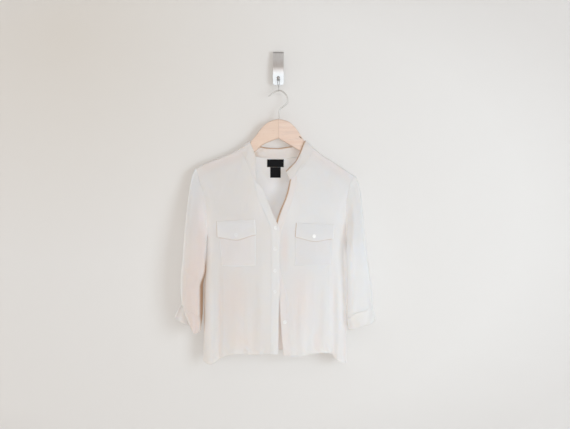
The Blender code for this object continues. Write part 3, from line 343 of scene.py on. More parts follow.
# Creases along the sleeves: start and end as (turn, way down), half width as a share of a turn, height in mm.
# The turn is 0 on the outside, 0.25 in front and 0.75 behind. The way down is 0 at the armhole and 1 at the
# cuff.
SLEEVE_CREASES = {
    -1: (
        ((0.07, 0.10), (0.05, 1.10), 0.045, 1.6), ((0.15, 0.22), (0.16, 1.05), 0.040, -1.3),
        ((0.27, 0.05), (0.25, 0.95), 0.050, 1.2), ((0.38, 0.30), (0.42, 0.80), 0.050, -0.9),
        ((0.10, 0.50), (0.30, 0.62), 0.030, -0.8), ((0.46, 0.52), (0.32, 0.76), 0.035, 0.9),
        ((0.60, 0.20), (0.62, 1.05), 0.050, -1.8), ((0.72, 0.10), (0.70, 0.90), 0.060, 1.9),
        ((0.84, 0.25), (0.82, 1.05), 0.045, -1.6), ((0.93, 0.30), (0.90, 0.90), 0.040, 1.3),
    ),
    1: (
        ((0.05, 0.12), (0.03, 1.05), 0.045, 1.4), ((0.20, 0.04), (0.26, 0.62), 0.055, -1.2),
        ((0.13, 0.25), (0.14, 1.05), 0.040, 1.1), ((0.34, 0.40), (0.36, 1.10), 0.060, -0.5),
        ((0.28, 0.55), (0.30, 1.05), 0.050, 0.5), ((0.44, 0.45), (0.42, 0.95), 0.050, 0.8),
        ((0.58, 0.25), (0.62, 1.05), 0.050, -1.7), ((0.74, 0.12), (0.72, 0.95), 0.060, 1.8),
        ((0.86, 0.25), (0.84, 1.05), 0.045, -1.5),
    ),
}

HIGHLIGHT_SHARE = 0.25  # of the painted highlight colour, in a patch of amount 1
FULL_RELIEF = 0.002  # the height at which a ridge or a trough has its full painted highlight or painted shade
# Soft patches of painted light on the fronts: middle x and z, half width, half height, and how much warm
# painted light (or, below zero, how much painted highlight) the patch has.
FRONT_TINTS = (
    (-0.118, -0.640, 0.060, 0.120, 0.55), (-0.100, -0.745, 0.045, 0.045, 0.45),
    (-0.113, -0.495, 0.055, 0.060, 0.35), (-0.188, -0.700, 0.020, 0.150, -0.50),
    (-0.030, -0.600, 0.026, 0.210, -0.55), (-0.050, -0.400, 0.030, 0.080, -0.40),
    (0.062, -0.640, 0.055, 0.140, 0.50), (0.018, -0.500, 0.016, 0.075, 0.60),
    (0.097, -0.495, 0.055, 0.060, 0.40), (0.148, -0.720, 0.030, 0.100, -0.35),
    (0.105, -0.750, 0.018, 0.045, 0.40), (0.035, -0.390, 0.025, 0.070, -0.35),
)


# ---------------------------------------------------------------- the body's surfaces

CREASE_DEPTH = 0.5  # of the heights in the tables
RELIEF_START = 0.03  # the small relief is complete this far below the ridge
HEM_TURN = 0.009  # from the hem up to its stitches
HEM_LIFT = 0.0003  # of the turned cloth
SLEEVE_EASE = 0.0006  # how far the sleeve's fullness stands up at the armhole seam
FLAP_CURL = 0.0012  # how far a flap's edge curls out
PATCH_DIP = (0.0002, 0.0014)  # depth and half width along a pocket's or a flap's stitches
CUFF_START = 2.95  # in steps down the sleeve's rings, so that a cuff begins inside the sleeve's end
CUFF_STITCH_WAY = 0.93
COLLAR_ROOT = -0.06  # the collar begins this share of its height below its seam
NECK_STEPS = (8, 40)  # from the notch to the front's corner, and on to the ridge
NECK_BACK_STEPS = 33
BAND_LEVEL_SHARE = 0.91  # from here down, as a share of the way to the underarm, the band's rows are level
PATCH_COLUMNS = 52
POCKET_ROWS = 56
FLAP_ROWS = 26
STITCH_DIP = 0.0005
STITCH_DIP_HALF = 0.0016
LATTICE = np.random.default_rng(11).uniform(-1, 1, (64, 64))


def ripple(u, v):
    """A smooth uneven wave between -1 and 1 that changes over about one unit each way."""
    u, v = np.broadcast_arrays(u, v)
    i, j = np.floor(u).astype(int), np.floor(v).astype(int)
    s, t = smooth(u - i), smooth(v - j)
    low = mix(LATTICE[i % 64, j % 64], LATTICE[(i + 1) % 64, j % 64], s)
    high = mix(LATTICE[i % 64, (j + 1) % 64], LATTICE[(i + 1) % 64, (j + 1) % 64], s)
    return mix(low, high, t)


def ridge_drop(x, z):
    return np.maximum(RIDGE.at(x, "z") - z, 0)


def over_ridge(drop):
    """0 on the ridge, 1 once the cloth hangs upright beside the hanger."""
    return np.sqrt(1 - (1 - np.minimum(drop / RIDGE_RISE, 1)) ** 2)


def half_width(side, z):
    top = RIDGE.at(SHOULDER_TIP_X[side], "z")
    share = (z - UNDERARM_Z[side]) / (top - UNDERARM_Z[side])
    return np.abs(SIDE[side].at(z, "x")) + TURN.at(share, "width")


def fullness(x, z):
    """1 in the middle of the body, 0 at the side seam, and between the two at an armhole."""
    half = np.where(x > 0, half_width(1, z), half_width(-1, z))
    return np.maximum(1 - np.minimum(np.abs(x) / half, 1) ** ROUNDNESS, 0) ** (1 / ROUNDNESS)


def fold_height(folds, x, z):
    height = 0
    for middle, from_z, half, rise in folds:
        height = height + rise * hump(x - middle, half) * smooth((from_z - z) / FOLD_GROWTH)
    return height


def crease_height(creases, x, z):
    height = 0
    for *ends, half, rise in creases:
        x0, z0, x1, z1 = np.array(ends) * MM
        run_x, run_z = x1 - x0, z1 - z0
        t = np.clip(((x - x0) * run_x + (z - z0) * run_z) / (run_x**2 + run_z**2), 0, 1)
        away = np.hypot(x - x0 - t * run_x, z - z0 - t * run_z)
        section = CREASE_DEPTH * rise * MM * hump(away, half * MM)
        height = height + section * smooth(3 * t) * smooth(3 * (1 - t))
    return height


def unevenness(x, z, hem_z):
    """Small waves of hanging silk: long upright ones, and a finer crumple that grows near the hem."""
    near_hem = smooth((hem_z + 0.06 - z) / 0.06)
    waves = 0.4 * ripple(x / 0.030, z / 0.16) + 0.10 * ripple(x / 0.010 + 9, z / 0.07)
    crumple = 1.8 * ripple(x / 0.013 + 5, z / 0.030) + 0.9 * ripple(x / 0.006 + 3, z / 0.012)
    return MM * (waves + crumple * near_hem)


def lap_lift(x, z):
    """The right front rises over the left one towards its band."""
    near_band = smooth((x - INNER[-1].at(z, "x") + LAP_REACH) / LAP_REACH)
    return LAP_LIFT * near_band * smooth((LAP_TOP_Z - z) / LAP_HEIGHT)


def drawn_in(x, middle_y, z):
    """Points at the depth of the body's middle, drawn in to the seam's depth at the sides."""
    return np.stack(np.broadcast_arrays(x, mix(SEAM_Y.at(z, "y"), middle_y, fullness(x, z)), z), axis=-1)


def front_surface(side, x, z):
    drop = ridge_drop(x, z)
    middle = HANGER_Y - RIDGE_HALF * over_ridge(drop) - DEPTH.at(drop, "front")
    middle = middle - fold_height(FRONT_FOLDS, x, z)
    relief = crease_height(FRONT_CREASES, x, z) + unevenness(x, z, FRONT_HEM.at(x, "z"))
    middle = middle - relief * smooth(drop / RELIEF_START)
    if side < 0:
        middle = middle - lap_lift(x, z)
    return drawn_in(x, middle, z)


def back_surface(x, z):
    drop = ridge_drop(x, z)
    middle = HANGER_Y + RIDGE_HALF * over_ridge(drop) + DEPTH.at(drop, "back") + fold_height(BACK_FOLDS, x, z)
    relief = crease_height(BACK_CREASES, x, z) + unevenness(x + 0.4, z, BACK_HEM.at(x, "z"))
    middle = middle + relief * smooth(drop / RELIEF_START)
    return drawn_in(x, middle, z)


def lifted(surface, x, z, lift):
    """Points of a surface, moved by lift along its normal, which faces -Y."""
    step = 0.0006
    across = surface(x + step, z) - surface(x - step, z)
    up = surface(x, z + step) - surface(x, z - step)
    normal = np.cross(across, up)
    normal /= np.linalg.norm(normal, axis=-1, keepdims=True)
    return surface(x, z) + normal * np.broadcast_to(lift, np.shape(x))[..., None]


def on_front(side, x, z, lift):
    return lifted(lambda a, b: front_surface(side, a, b), x, z, lift)


# ---------------------------------------------------------------- grids of points for the panels


def upper_rows(count):
    """Shares of the way down an armhole: close together where the cloth turns over the hanger."""
    turned = 0.045
    over = turned * (np.arange(10) / 10) ** 2
    return np.concatenate([over, np.linspace(turned, 1, count)])


def body_rows(upper_count, low_count):
    """For each row, its share of the way to the underarm and then of the way on to the hem."""
    upper = upper_rows(upper_count)
    low = np.linspace(0, 1, low_count + 1)[1:]
    return np.concatenate([upper, np.ones(low_count)]), np.concatenate([np.zeros(len(upper)), low])


def row_heights(side, upper, low):
    """Heights at a row's two ends: at the neck seam or band, and at the armhole or side seam."""
    neck_z = RIDGE.at(NECK_POINT_X[side], "z")
    tip_z = RIDGE.at(SHOULDER_TIP_X[side], "z")
    inner_z = neck_z + (BAND_CORNER_Z[side] - neck_z) / CORNER_SHARE
    hem_inner = FRONT_HEM.at(INNER[side].at(HEM_Z, "x"), "z")
    hem_side = FRONT_HEM.at(SIDE[side].at(HEM_Z, "x"), "z")
    at_inner = mix(mix(neck_z, inner_z, upper), hem_inner, low)
    at_side = mix(mix(tip_z, UNDERARM_Z[side], upper), hem_side, low)
    return at_inner, at_side


def ridge_bulge(side, share):
    """How far the shoulder line lies above a straight one, at a share of the way to the shoulder tip."""
    neck_x, tip_x = NECK_POINT_X[side], SHOULDER_TIP_X[side]
    return RIDGE.at(mix(neck_x, tip_x, share), "z") - mix(RIDGE.at(neck_x, "z"), RIDGE.at(tip_x, "z"), share)


def side_shares(count, start=0.0):
    """Shares of the way to the side, closing up where the cloth turns."""
    return np.sin(np.linspace(start * math.pi / 2, math.pi / 2, count + 1))


def front_places(side, rows, shares):
    upper, low = rows
    inner_z, side_z = row_heights(side, upper, low)
    x = mix(INNER[side].at(inner_z, "x")[:, None], SIDE[side].at(side_z, "x")[:, None], shares)
    z = mix(inner_z[:, None], side_z[:, None], shares)
    z = z + ridge_bulge(side, shares) * (1 - smooth(2 * upper))[:, None]
    z = z + (FRONT_HEM.at(x, "z") - mix(*row_heights(side, 1, 1), shares)) * low[:, None] ** 3
    return x, z


def back_places(rows, top_x):
    upper, low = (part[:, None] for part in rows)
    side = np.where(top_x > 0, 1, -1)
    at_side = {s: row_heights(s, *rows)[1] for s in (-1, 1)}
    side_x = {s: SIDE[s].at(at_side[s], "x")[:, None] for s in (-1, 1)}
    tip = np.where(side > 0, SHOULDER_TIP_X[1], SHOULDER_TIP_X[-1])
    across = top_x / tip
    over_neck = (top_x > NECK_POINT_X[-1]) & (top_x < NECK_POINT_X[1])
    top_z = np.where(over_neck, BACK_NECK.at(top_x, "z"), RIDGE.at(top_x, "z"))
    middle_underarm = (UNDERARM_Z[-1] + UNDERARM_Z[1]) / 2
    underarm = mix(middle_underarm, np.where(side > 0, UNDERARM_Z[1], UNDERARM_Z[-1]), across)
    x = np.where(side > 0, side_x[1], side_x[-1]) * across
    return x, mix(mix(top_z, underarm, upper), BACK_HEM.at(x, "z"), low)


def back_columns(outer_count, neck_count):
    """The back's columns, as x at the top from the right shoulder tip to the left one."""
    halves = []
    for side in (-1, 1):
        outer = mix(NECK_POINT_X[side], SHOULDER_TIP_X[side], side_shares(outer_count))[::-1]
        neck = mix(NECK_POINT_X[side], 0, np.linspace(0, 1, neck_count + 1)[1:])
        halves.append(np.concatenate([outer, neck]))
    return np.concatenate([halves[0], halves[1][-2::-1]])


def groove(away, depth=STITCH_DIP, half=STITCH_DIP_HALF):
    """The dip of cloth along a line of stitches."""
    return -depth * hump(away, half)


def hem_relief(above_hem, rows):
    """Out of the cloth: the dip along the hem's stitches, and the turned cloth below them."""
    turned = HEM_LIFT * smooth((HEM_TURN - above_hem) / 0.002) * (rows[1][:, None] > 0)
    return groove(above_hem - HEM_TURN) + turned


def front_grid(side, rows, shares):
    x, z = front_places(side, rows, shares)
    return on_front(side, x, z, hem_relief(z - FRONT_HEM.at(x, "z"), rows)), x, z


def back_grid(rows, top_x):
    x, z = back_places(rows, top_x)
    return lifted(back_surface, x, z, -hem_relief(z - BACK_HEM.at(x, "z"), rows)), x, z


# ---------------------------------------------------------------- sleeves and cuffs


def armhole_point(side, share, front):
    z = row_heights(side, share, 0)[1]
    x = SIDE[side].at(z, "x")
    return np.where(front[..., None], front_surface(side, x, z), back_surface(x, z))


def oval(side, down, turn):
    """Points of the sleeve's rings. turn is 0 on the outside, a quarter turn at the front."""
    ring = {name: SLEEVE[side].at(down, name) for name in SLEEVE[side].names[1:]}
    cos, sin = np.cos(turn), np.sin(turn)
    power = 2 / SLEEVE_ROUNDNESS[side]
    out = np.copysign(np.abs(cos) ** power, cos)
    ahead = np.copysign(np.abs(sin) ** power, sin)
    middle_y = (ring["front_y"] + ring["back_y"]) / 2
    x = mix(ring["out_x"], ring["in_x"], (1 - out) / 2)
    if side < 0:
        x = x + BACK_BULGE.at(down, "reach") * hump((turn / (2 * math.pi)) % 1 - 0.60, 0.10)
    y = middle_y + ahead * (ring["front_y"] - middle_y)
    z = mix(ring["out_z"], ring["in_z"], (1 - cos) / 2)
    return np.stack(np.broadcast_arrays(x, y, z), axis=-1)


def unit(vectors):
    return vectors / np.linalg.norm(vectors, axis=-1, keepdims=True)


def sleeve_base(side, turns, cap_steps, tube_steps):
    """The plain sleeve: from the armhole over the cap, then down the rings. turns are shares of a turn."""
    half_turn = 1 - np.abs(2 * (turns % 1) - 1)
    share = STEP_SHARE.at(half_turn * (len(SEAM_STEPS) - 1), "share")
    front = (turns % 1) <= 0.5
    angle = 2 * math.pi * turns
    start = armhole_point(side, share, front)
    end = oval(side, 0.0, angle)
    below = oval(side, 0.1, angle) - end
    swing = np.where(front, -CAP_FORWARD, CAP_BACKWARD) * np.sin(math.pi * share)
    droop = -CAP_DROOP * (1 - smooth(share * 2))
    heading = unit(np.stack([np.full_like(share, side), swing, droop], axis=-1))
    arrive = unit(below) * np.linalg.norm(end - start, axis=-1, keepdims=True) * CAP_ARRIVES
    leave = heading * CAP_LEAVES.at(share, "reach")[:, None]
    cap = hermite(start, end, leave, arrive, cap_steps[:, None, None])
    tube = oval(side, tube_steps[:, None], angle[None])
    return np.concatenate([cap, tube])


def grid_normals(grid):
    across = np.gradient(grid, axis=1)
    down = np.gradient(grid, axis=0)
    return unit(np.cross(down, across))


def sleeve_creases(side, turns, ways):
    height = 0
    for (turn_0, way_0), (turn_1, way_1), half, rise in SLEEVE_CREASES[side]:
        t = (ways - way_0) / (way_1 - way_0)
        away = (turns - mix(turn_0, turn_1, t) + 0.5) % 1 - 0.5
        height = height + rise * MM * hump(away, half) * smooth(3 * t) * smooth(3 * (1 - t))
    return height


def sleeve_grid(side, columns, cap_rows, tube_rows):
    """The whole sleeve, its two edges meeting in the underarm seam."""
    turns = np.linspace(0.5, 1.5, columns + 1)
    cap_steps = np.linspace(0, 1, cap_rows + 1)[:-1] ** 1.25
    base = sleeve_base(side, turns, cap_steps, np.linspace(0, 3, tube_rows + 1))
    rows = len(base)
    ways = (np.arange(rows) / (rows - 1))[:, None]
    outwards = grid_normals(base) * -side
    height = sleeve_creases(side, turns, ways)
    waves = 0.8 * ripple(turns * 11 + side, ways * 4) + 0.4 * ripple(turns * 26, ways * 9 + side)
    height = height + MM * waves
    height = height * smooth(ways / 0.08) * smooth((1.02 - ways) / 0.12)
    height = height * hump((turns - 1) * 0.96, 0.5) ** 0.15
    puckered = SLEEVE_EASE * hump(ways - 0.035, 0.035) * (1 + 0.35 * ripple(turns * 70, ways * 3))
    height = height + puckered * hump(turns - 1, 0.42)
    return base + outwards * height[..., None], turns, ways


def cuff_grid(side, columns, rows):
    """From the sleeve's end to the cuff's open end. The grid starts and ends at the slit on the outside."""
    turns = np.linspace(0, 1, columns + 1)
    top = oval(side, CUFF_START, 2 * math.pi * turns)
    end = CUFF_END[side].point(360 * turns)
    way = np.linspace(0, 1, rows + 1)[:, None]
    grid = mix(top, end, way[..., None])
    outwards = grid_normals(grid) * -side
    bow = (0.0010 * hump(way - 0.5, 0.5) + MM * 0.5 * ripple(turns * 13 + side, way * 1.5)) * smooth(way * 3)
    bow = bow + groove((way - CUFF_STITCH_WAY) * 0.04, 0.0003) + 0.0002
    return grid + outwards * bow[..., None], turns, way


# ---------------------------------------------------------------- collar, bands, pockets, labels


def neck_seam(side, front_count, upper_count):
    """Half the neck seam from the notch up to the ridge, as x and z."""
    corner_z = BAND_CORNER_Z[side]
    corner_x = INNER[side].at(corner_z, "x")
    share = np.linspace(0, 1, front_count + 1)
    low_x, low_z = mix(NOTCH[side][0], corner_x, share), mix(NOTCH[side][1], corner_z, share)
    neck_z = RIDGE.at(NECK_POINT_X[side], "z")
    up = 1 - (1 - np.linspace(0, 1, upper_count + 1)[1:]) ** 1.5
    high_z = mix(corner_z, neck_z, up)
    return np.concatenate([low_x, INNER[side].at(high_z, "x")]), np.concatenate([low_z, high_z])


def lengths_along(points):
    steps = np.linalg.norm(np.diff(points, axis=0), axis=-1)
    return np.concatenate([[0], np.cumsum(steps)])


def collar_half(side):
    """Seam and edge points of half the collar, from the notch to the middle of the back."""
    seam = front_surface(side, *neck_seam(side, *NECK_STEPS))
    along = lengths_along(seam)
    free = COLLAR_FRONT[side].point(along / along[-1])
    back_share = np.linspace(0, 1, NECK_BACK_STEPS + 1)[1:] ** 1.4
    x = mix(NECK_POINT_X[side], 0, back_share)
    back_seam = back_surface(x, BACK_NECK.at(x, "z"))
    back_free = COLLAR_BACK[side].point(back_share)
    return np.concatenate([seam, back_seam]), np.concatenate([free, back_free])


def collar_grid(rows):
    right, left = collar_half(-1), collar_half(1)
    seam, free = (np.concatenate([a, b[-2::-1]]) for a, b in zip(right, left))
    way = np.linspace(COLLAR_ROOT, 1, rows + 1)[:, None]
    grid = mix(seam, free, way[..., None])
    outwards = grid_normals(grid)
    around = np.linspace(0, 1, len(seam))
    bow = 0.0012 * hump(way - 0.5, 0.55) + MM * 0.5 * ripple(around * 34, way * 1.6)
    bow = bow + MM * 1.3 * ripple(around * 60 + way * 3, way * 2.5) * hump(around - 0.39, 0.08)
    bow = bow * smooth(way * 6)
    return grid + outwards * bow[..., None]


def band_grid(side, rows, columns):
    """The front band from the neck seam to the hem, between the front's inner line and its own free edge."""
    corner = CORNER_SHARE
    upper, low = rows
    kept = upper >= corner
    upper, low = np.concatenate([[corner], upper[kept]]), np.concatenate([[0], low[kept]])
    outer_z = row_heights(side, upper, low)[0]
    level = smooth((upper - corner) / (BAND_LEVEL_SHARE - corner))
    tilt = (NOTCH[side][1] - BAND_CORNER_Z[side]) * (1 - level)
    outer_x = INNER[side].at(outer_z, "x")
    edge_z = outer_z + tilt
    edge_x = EDGE[side].at(edge_z, "x")
    across = np.linspace(0, 1, columns + 1)
    x = mix(outer_x[:, None], edge_x[:, None], across)
    z = mix(outer_z[:, None], edge_z[:, None], across)
    z = z + (FRONT_HEM.at(x, "z") - z) * (low[:, None] ** 8)
    stitched = groove((across - 0.10) * BAND_WIDTH, 0.0001) + groove((across - 0.90) * BAND_WIDTH, 0.0003)
    pucker = 0.00015 * ripple(z / 0.006, across * 2 + side) * smooth(across * 4 - 0.5)
    return on_front(side, x, z, 0.0008 * smooth(across * 6) - 0.0002 + stitched + pucker), x, z


def low_edge(shape, across):
    """Height of a patch's lower edge, which dips in a soft curve to its point."""
    to_middle = 1 - np.abs(2 * across - 1)
    return mix(*shape["low"], across) + shape["point"] * mix(to_middle, smooth(to_middle), 0.85)


def from_edges(across, down, width, height):
    """How far a place on a patch lies from the nearest of its side and lower edges."""
    return np.minimum(np.minimum(across, 1 - across) * width, (1 - down) * height)


def patch_places(shape, top, columns, rows):
    """A flat piece on a front: its places from top to bottom between its inner and outer edges."""
    down = np.linspace(0, 1, rows + 1)[:, None]
    across = np.linspace(0, 1, columns + 1)
    x = mix(mix(*shape["outer"], down), mix(*shape["inner"], down), across)
    z = mix(mix(*top, across), low_edge(shape, across), down)
    return x, z, across, down


def pocket_grid(side):
    shape = POCKET[side]
    x, z, across, down = patch_places(shape, (shape["top"], shape["top"]), PATCH_COLUMNS, POCKET_ROWS)
    inside = from_edges(across, down, *POCKET_SIZE)
    lift = mix(0.0003, PATCH_LIFT, smooth(inside / 0.016) * smooth(down / 0.25))
    lift = lift + groove(inside - PATCH_SEAM, *PATCH_DIP)
    lift = lift + 0.0004 * ripple(across * 5 + side, down * 4) * smooth(inside / 0.02) * smooth(down / 0.25)
    return on_front(side, x, z, lift), x, z


def flap_grid(side):
    shape = FLAP[side]
    x, z, across, down = patch_places(shape, shape["high"], PATCH_COLUMNS, FLAP_ROWS)
    over = mix(0.0002, FLAP_LIFT, smooth(down))
    inside = from_edges(across, down, *FLAP_SIZE)
    uneven = 0.6 + 0.6 * ripple(across * 6, side)
    curl = FLAP_CURL * smooth(1 - inside / 0.006) * smooth(down * 2 - 0.5) * uneven
    lift = over + curl + groove(inside - PATCH_SEAM, *PATCH_DIP) * smooth(down * 5)
    return on_front(side, x, z, lift), x, z


def tape_grid(x_range, z_range, columns, rows):
    x = np.linspace(*x_range, columns + 1)[None]
    z = np.linspace(*z_range, rows + 1)[:, None]
    x, z = np.broadcast_arrays(x, z)
    lift = TAPE_LIFT + 0.0003 * ripple(x / 0.010, z / 0.011)
    return lifted(back_surface, x, z, lift)


# ---------------------------------------------------------------- materials

SILK_PLAIN = (0.709, 0.702, 0.696)
SILK_COOL = (0.697, 0.697, 0.694)
# The warm, white and shade colours here are painted light: a warm light for the wood showing through and for
# warm shade in hollows, a highlight, and a brown painted shadow.
SILK_WARM_LIGHT = (0.732, 0.652, 0.628)
SILK_HIGHLIGHT = (0.937, 0.942, 0.942)
SILK_SLUB = (0.780, 0.765, 0.750)
SILK_SHADE = (0.400, 0.240, 0.120)
WARP_PERIOD = 0.00042
WEFT_PERIOD = 0.00046
THREAD_COLOURS = (0.68, 0.66, 0.64), (0.76, 0.74, 0.72)
TAPE_COLOURS = (0.0040, 0.0040, 0.0052), (0.012, 0.012, 0.014)
RIB_PERIOD = 0.00035
RIB_CROSS_PERIOD = 0.0006
STRIP_COLOURS = (0.452, 0.440, 0.430), (0.765, 0.765, 0.770)
# Colours of the strip's painted reflections: a dim warm one over its top and a cool one over its foot.
STEEL_DIM_REFLECTION = (0.450, 0.395, 0.360)
STEEL_COOL_REFLECTION = (0.480, 0.548, 0.598)
WOOD_FLECK = (0.500, 0.300, 0.180)
WOOD_PATCH = (0.640, 0.500, 0.430)
WOOD_DARK_SPOT = (0.150, 0.080, 0.045)
# Spots of another colour: the middle, the slant in degrees, and the reach along each axis.
# The first two are where the strip's painted reflections lie.
DIM_REFLECTION_SPOT = ((0, 0, 0.006), 0, (1, 1, 0.020))
COOL_REFLECTION_SPOT = ((0, 0, -0.034), 0, (1, 1, 0.032))
BOARD_JOINT = ((HANGER_MIDDLE_X, 0, 0), 0, (0.0013, 1, 10))
# A small dark spot near the top edge of the left board.
DARK_SPOT = ((0.0612, -0.0325, -0.1952), 38, (0.0062, 0.0100, 0.0018))
# The wall's paint, and where painted shade darkens it towards the upper left and the edges: the spot, the
# distances from its middle at which the painted shade begins and is complete, and its colour.
WALL_COLOUR = (0.742, 0.733, 0.716)
WALL_PAINTED_SHADE = (
    (((-0.60, 0, 0.10), 0, (0.70, 1, 0.65)), 1.0, 0.0, (0.690, 0.660, 0.615)),
    (((-0.27, 0, -0.41), 0, (1.10, 1, 0.69)), 0.88, 1.20, (0.690, 0.674, 0.655)),
)
FLOOR_COLOUR = (0.72, 0.70, 0.67)


class Finish:
    """A material under construction: its nodes, with short ways to add and join them."""

    def __init__(self, name):
        self.material = bpy.data.materials.new(name)
        self.material.use_nodes = True
        self.nodes = self.material.node_tree.nodes
        self.links = self.material.node_tree.links
        self.shader = self.nodes["Principled BSDF"]

    def feed(self, socket, value):
        """Joins a socket to a node's output, or sets it to a number or colour."""
        if isinstance(value, bpy.types.NodeSocket):
            self.links.new(value, socket)
        elif socket.type == "RGBA":
            socket.default_value = (*value, 1)
        else:
            socket.default_value = value

    def feed_all(self, node, inputs):
        for name, value in inputs.items():
            self.feed(node.inputs[name.replace("_", " ")], value)

    def add(self, kind, **inputs):
        node = self.nodes.new(kind)
        self.feed_all(node, inputs)
        return node

    def read(self, kind, output):
        return self.nodes.new(kind).outputs[output]

    def maths(self, operation, *values):
        node = self.nodes.new("ShaderNodeMath")
        node.operation = operation
        for socket, value in zip(node.inputs, values):
            self.feed(socket, value)
        return node.outputs[0]

    def times(self, value, factor):
        return self.maths("MULTIPLY", value, factor)

    def between(self, value, low, high):
        """low where value is 0, high where it is 1."""
        return self.maths("MULTIPLY_ADD", value, high - low, low)

    def blend(self, share, first, second):
        """A mix of two colours."""
        node = self.nodes.new("ShaderNodeMix")
        node.data_type = "RGBA"
        for index, value in ((0, share), (6, first), (7, second)):
            self.feed(node.inputs[index], value)
        return node.outputs[2]

    def ramp(self, value, low, high):
        """value, stretched so that low gives 0 and high gives 1."""
        return self.add("ShaderNodeMapRange", Value=value, From_Min=low, From_Max=high).outputs["Result"]

    def place(self, source, scale):
        """Coordinates for a texture, from the object or from its weave map."""
        if source == "object":
            output = self.read("ShaderNodeTexCoord", "Object")
        else:
            node = self.nodes.new("ShaderNodeUVMap")
            node.uv_map = source
            output = node.outputs["UV"]
        return self.add("ShaderNodeMapping", Vector=output, Scale=scale).outputs["Vector"]

    def away(self, middle, slant, reach):
        """How far a point is from a spot's middle, as a share of its reach along each axis."""
        source = self.read("ShaderNodeTexCoord", "Object")
        turn = (0, math.radians(slant), 0)
        place = self.add("ShaderNodeMapping", Vector=source, Location=middle, Rotation=turn, Scale=reach)
        place.vector_type = "TEXTURE"
        length = self.nodes.new("ShaderNodeVectorMath")
        length.operation = "LENGTH"
        self.links.new(place.outputs["Vector"], length.inputs[0])
        return length.outputs["Value"]

    def noise(self, source, scale, detail=3.0, roughness=0.5):
        place = self.place(source, scale)
        node = self.add("ShaderNodeTexNoise", Vector=place, Scale=1.0, Detail=detail, Roughness=roughness)
        return node.outputs["Fac"]

    def wave(self, direction, period):
        """Straight bands across the weave, of one period in metres."""
        node = self.add("ShaderNodeTexWave", Vector=self.place("weave", (1, 1, 1)), Distortion=0.0,
                        Scale=math.pi / (10 * period))
        node.bands_direction = direction
        return node.outputs["Fac"]

    def bump(self, height, strength, distance):
        """Relief, added to what the shader has."""
        node = self.add("ShaderNodeBump", Height=height, Strength=strength, Distance=distance)
        normal = self.shader.inputs["Normal"]
        if normal.is_linked:
            self.links.new(normal.links[0].from_socket, node.inputs["Normal"])
        self.links.new(node.outputs["Normal"], normal)

    def finish(self, **inputs):
        self.feed_all(self.shader, inputs)
        return self.material


def silk_finish():
    """Washed silk: a fine plain weave with slubs. Its painted light, a warm light, a highlight and a brown
    shadow, is read from the cloth, and fades out on faces that look back to the wall."""
    made = Finish("silk_crepe")
    painted_light = made.add("ShaderNodeAttribute")
    painted_light.attribute_name = "painted_light"
    channels = made.add("ShaderNodeSeparateColor", Color=painted_light.outputs["Color"]).outputs
    facing = made.add("ShaderNodeSeparateXYZ", Vector=made.read("ShaderNodeNewGeometry", "Normal"))
    in_front = made.ramp(facing.outputs["Y"], 0.45, 0.05)
    warm_light, highlight, shade = (made.times(channels[name], in_front) for name in ("Red", "Green", "Blue"))
    cloud = made.noise("object", (14, 14, 6), detail=4.0, roughness=0.6)
    slub = made.noise("weave", (90, 1500, 1), detail=2.0)
    colour = made.blend(made.ramp(cloud, 0.25, 0.75), SILK_COOL, SILK_PLAIN)
    # Painted light over the silk's own colour: a warm light, a highlight, and last a brown painted shadow.
    colour = made.blend(warm_light, colour, SILK_WARM_LIGHT)
    colour = made.blend(highlight, colour, SILK_HIGHLIGHT)
    colour = made.blend(made.times(made.ramp(slub, 0.55, 0.8), 0.10), colour, SILK_SLUB)
    colour = made.blend(shade, colour, SILK_SHADE)
    threads = (made.wave("X", WARP_PERIOD), made.wave("Y", WEFT_PERIOD))
    made.bump(made.maths("ADD", *(made.times(wave, 0.5) for wave in threads)), 0.25, 0.00006)
    made.bump(slub, 0.20, 0.00012)
    made.bump(made.noise("object", (260, 260, 120), detail=4.0), 0.16, 0.0005)
    return made.finish(Base_Color=colour, Roughness=made.between(cloud, 0.44, 0.58), Sheen_Weight=0.25,
                       Sheen_Roughness=0.45, Specular_IOR_Level=0.35, Subsurface_Weight=1.0,
                       Subsurface_Radius=(1.0, 0.85, 0.72), Subsurface_Scale=0.0015)


def thread_finish():
    made = Finish("silk_thread")
    twist = made.noise("object", (1500, 1500, 1500), detail=1.0)
    made.bump(twist, 0.3, 0.0001)
    return made.finish(Base_Color=made.blend(twist, *THREAD_COLOURS), Roughness=0.55, Sheen_Weight=0.2)


def tape_finish():
    """Black woven label tape: a fine rib across, and a paler lint."""
    made = Finish("label_tape")
    lint = made.noise("object", (900, 900, 900), detail=3.0)
    colour = made.blend(made.ramp(lint, 0.55, 0.8), *TAPE_COLOURS)
    cross = made.times(made.wave("X", RIB_CROSS_PERIOD), 0.4)
    made.bump(made.maths("ADD", made.wave("Y", RIB_PERIOD), cross), 0.5, 0.0001)
    return made.finish(Base_Color=colour, Roughness=0.75, Specular_IOR_Level=0.15)


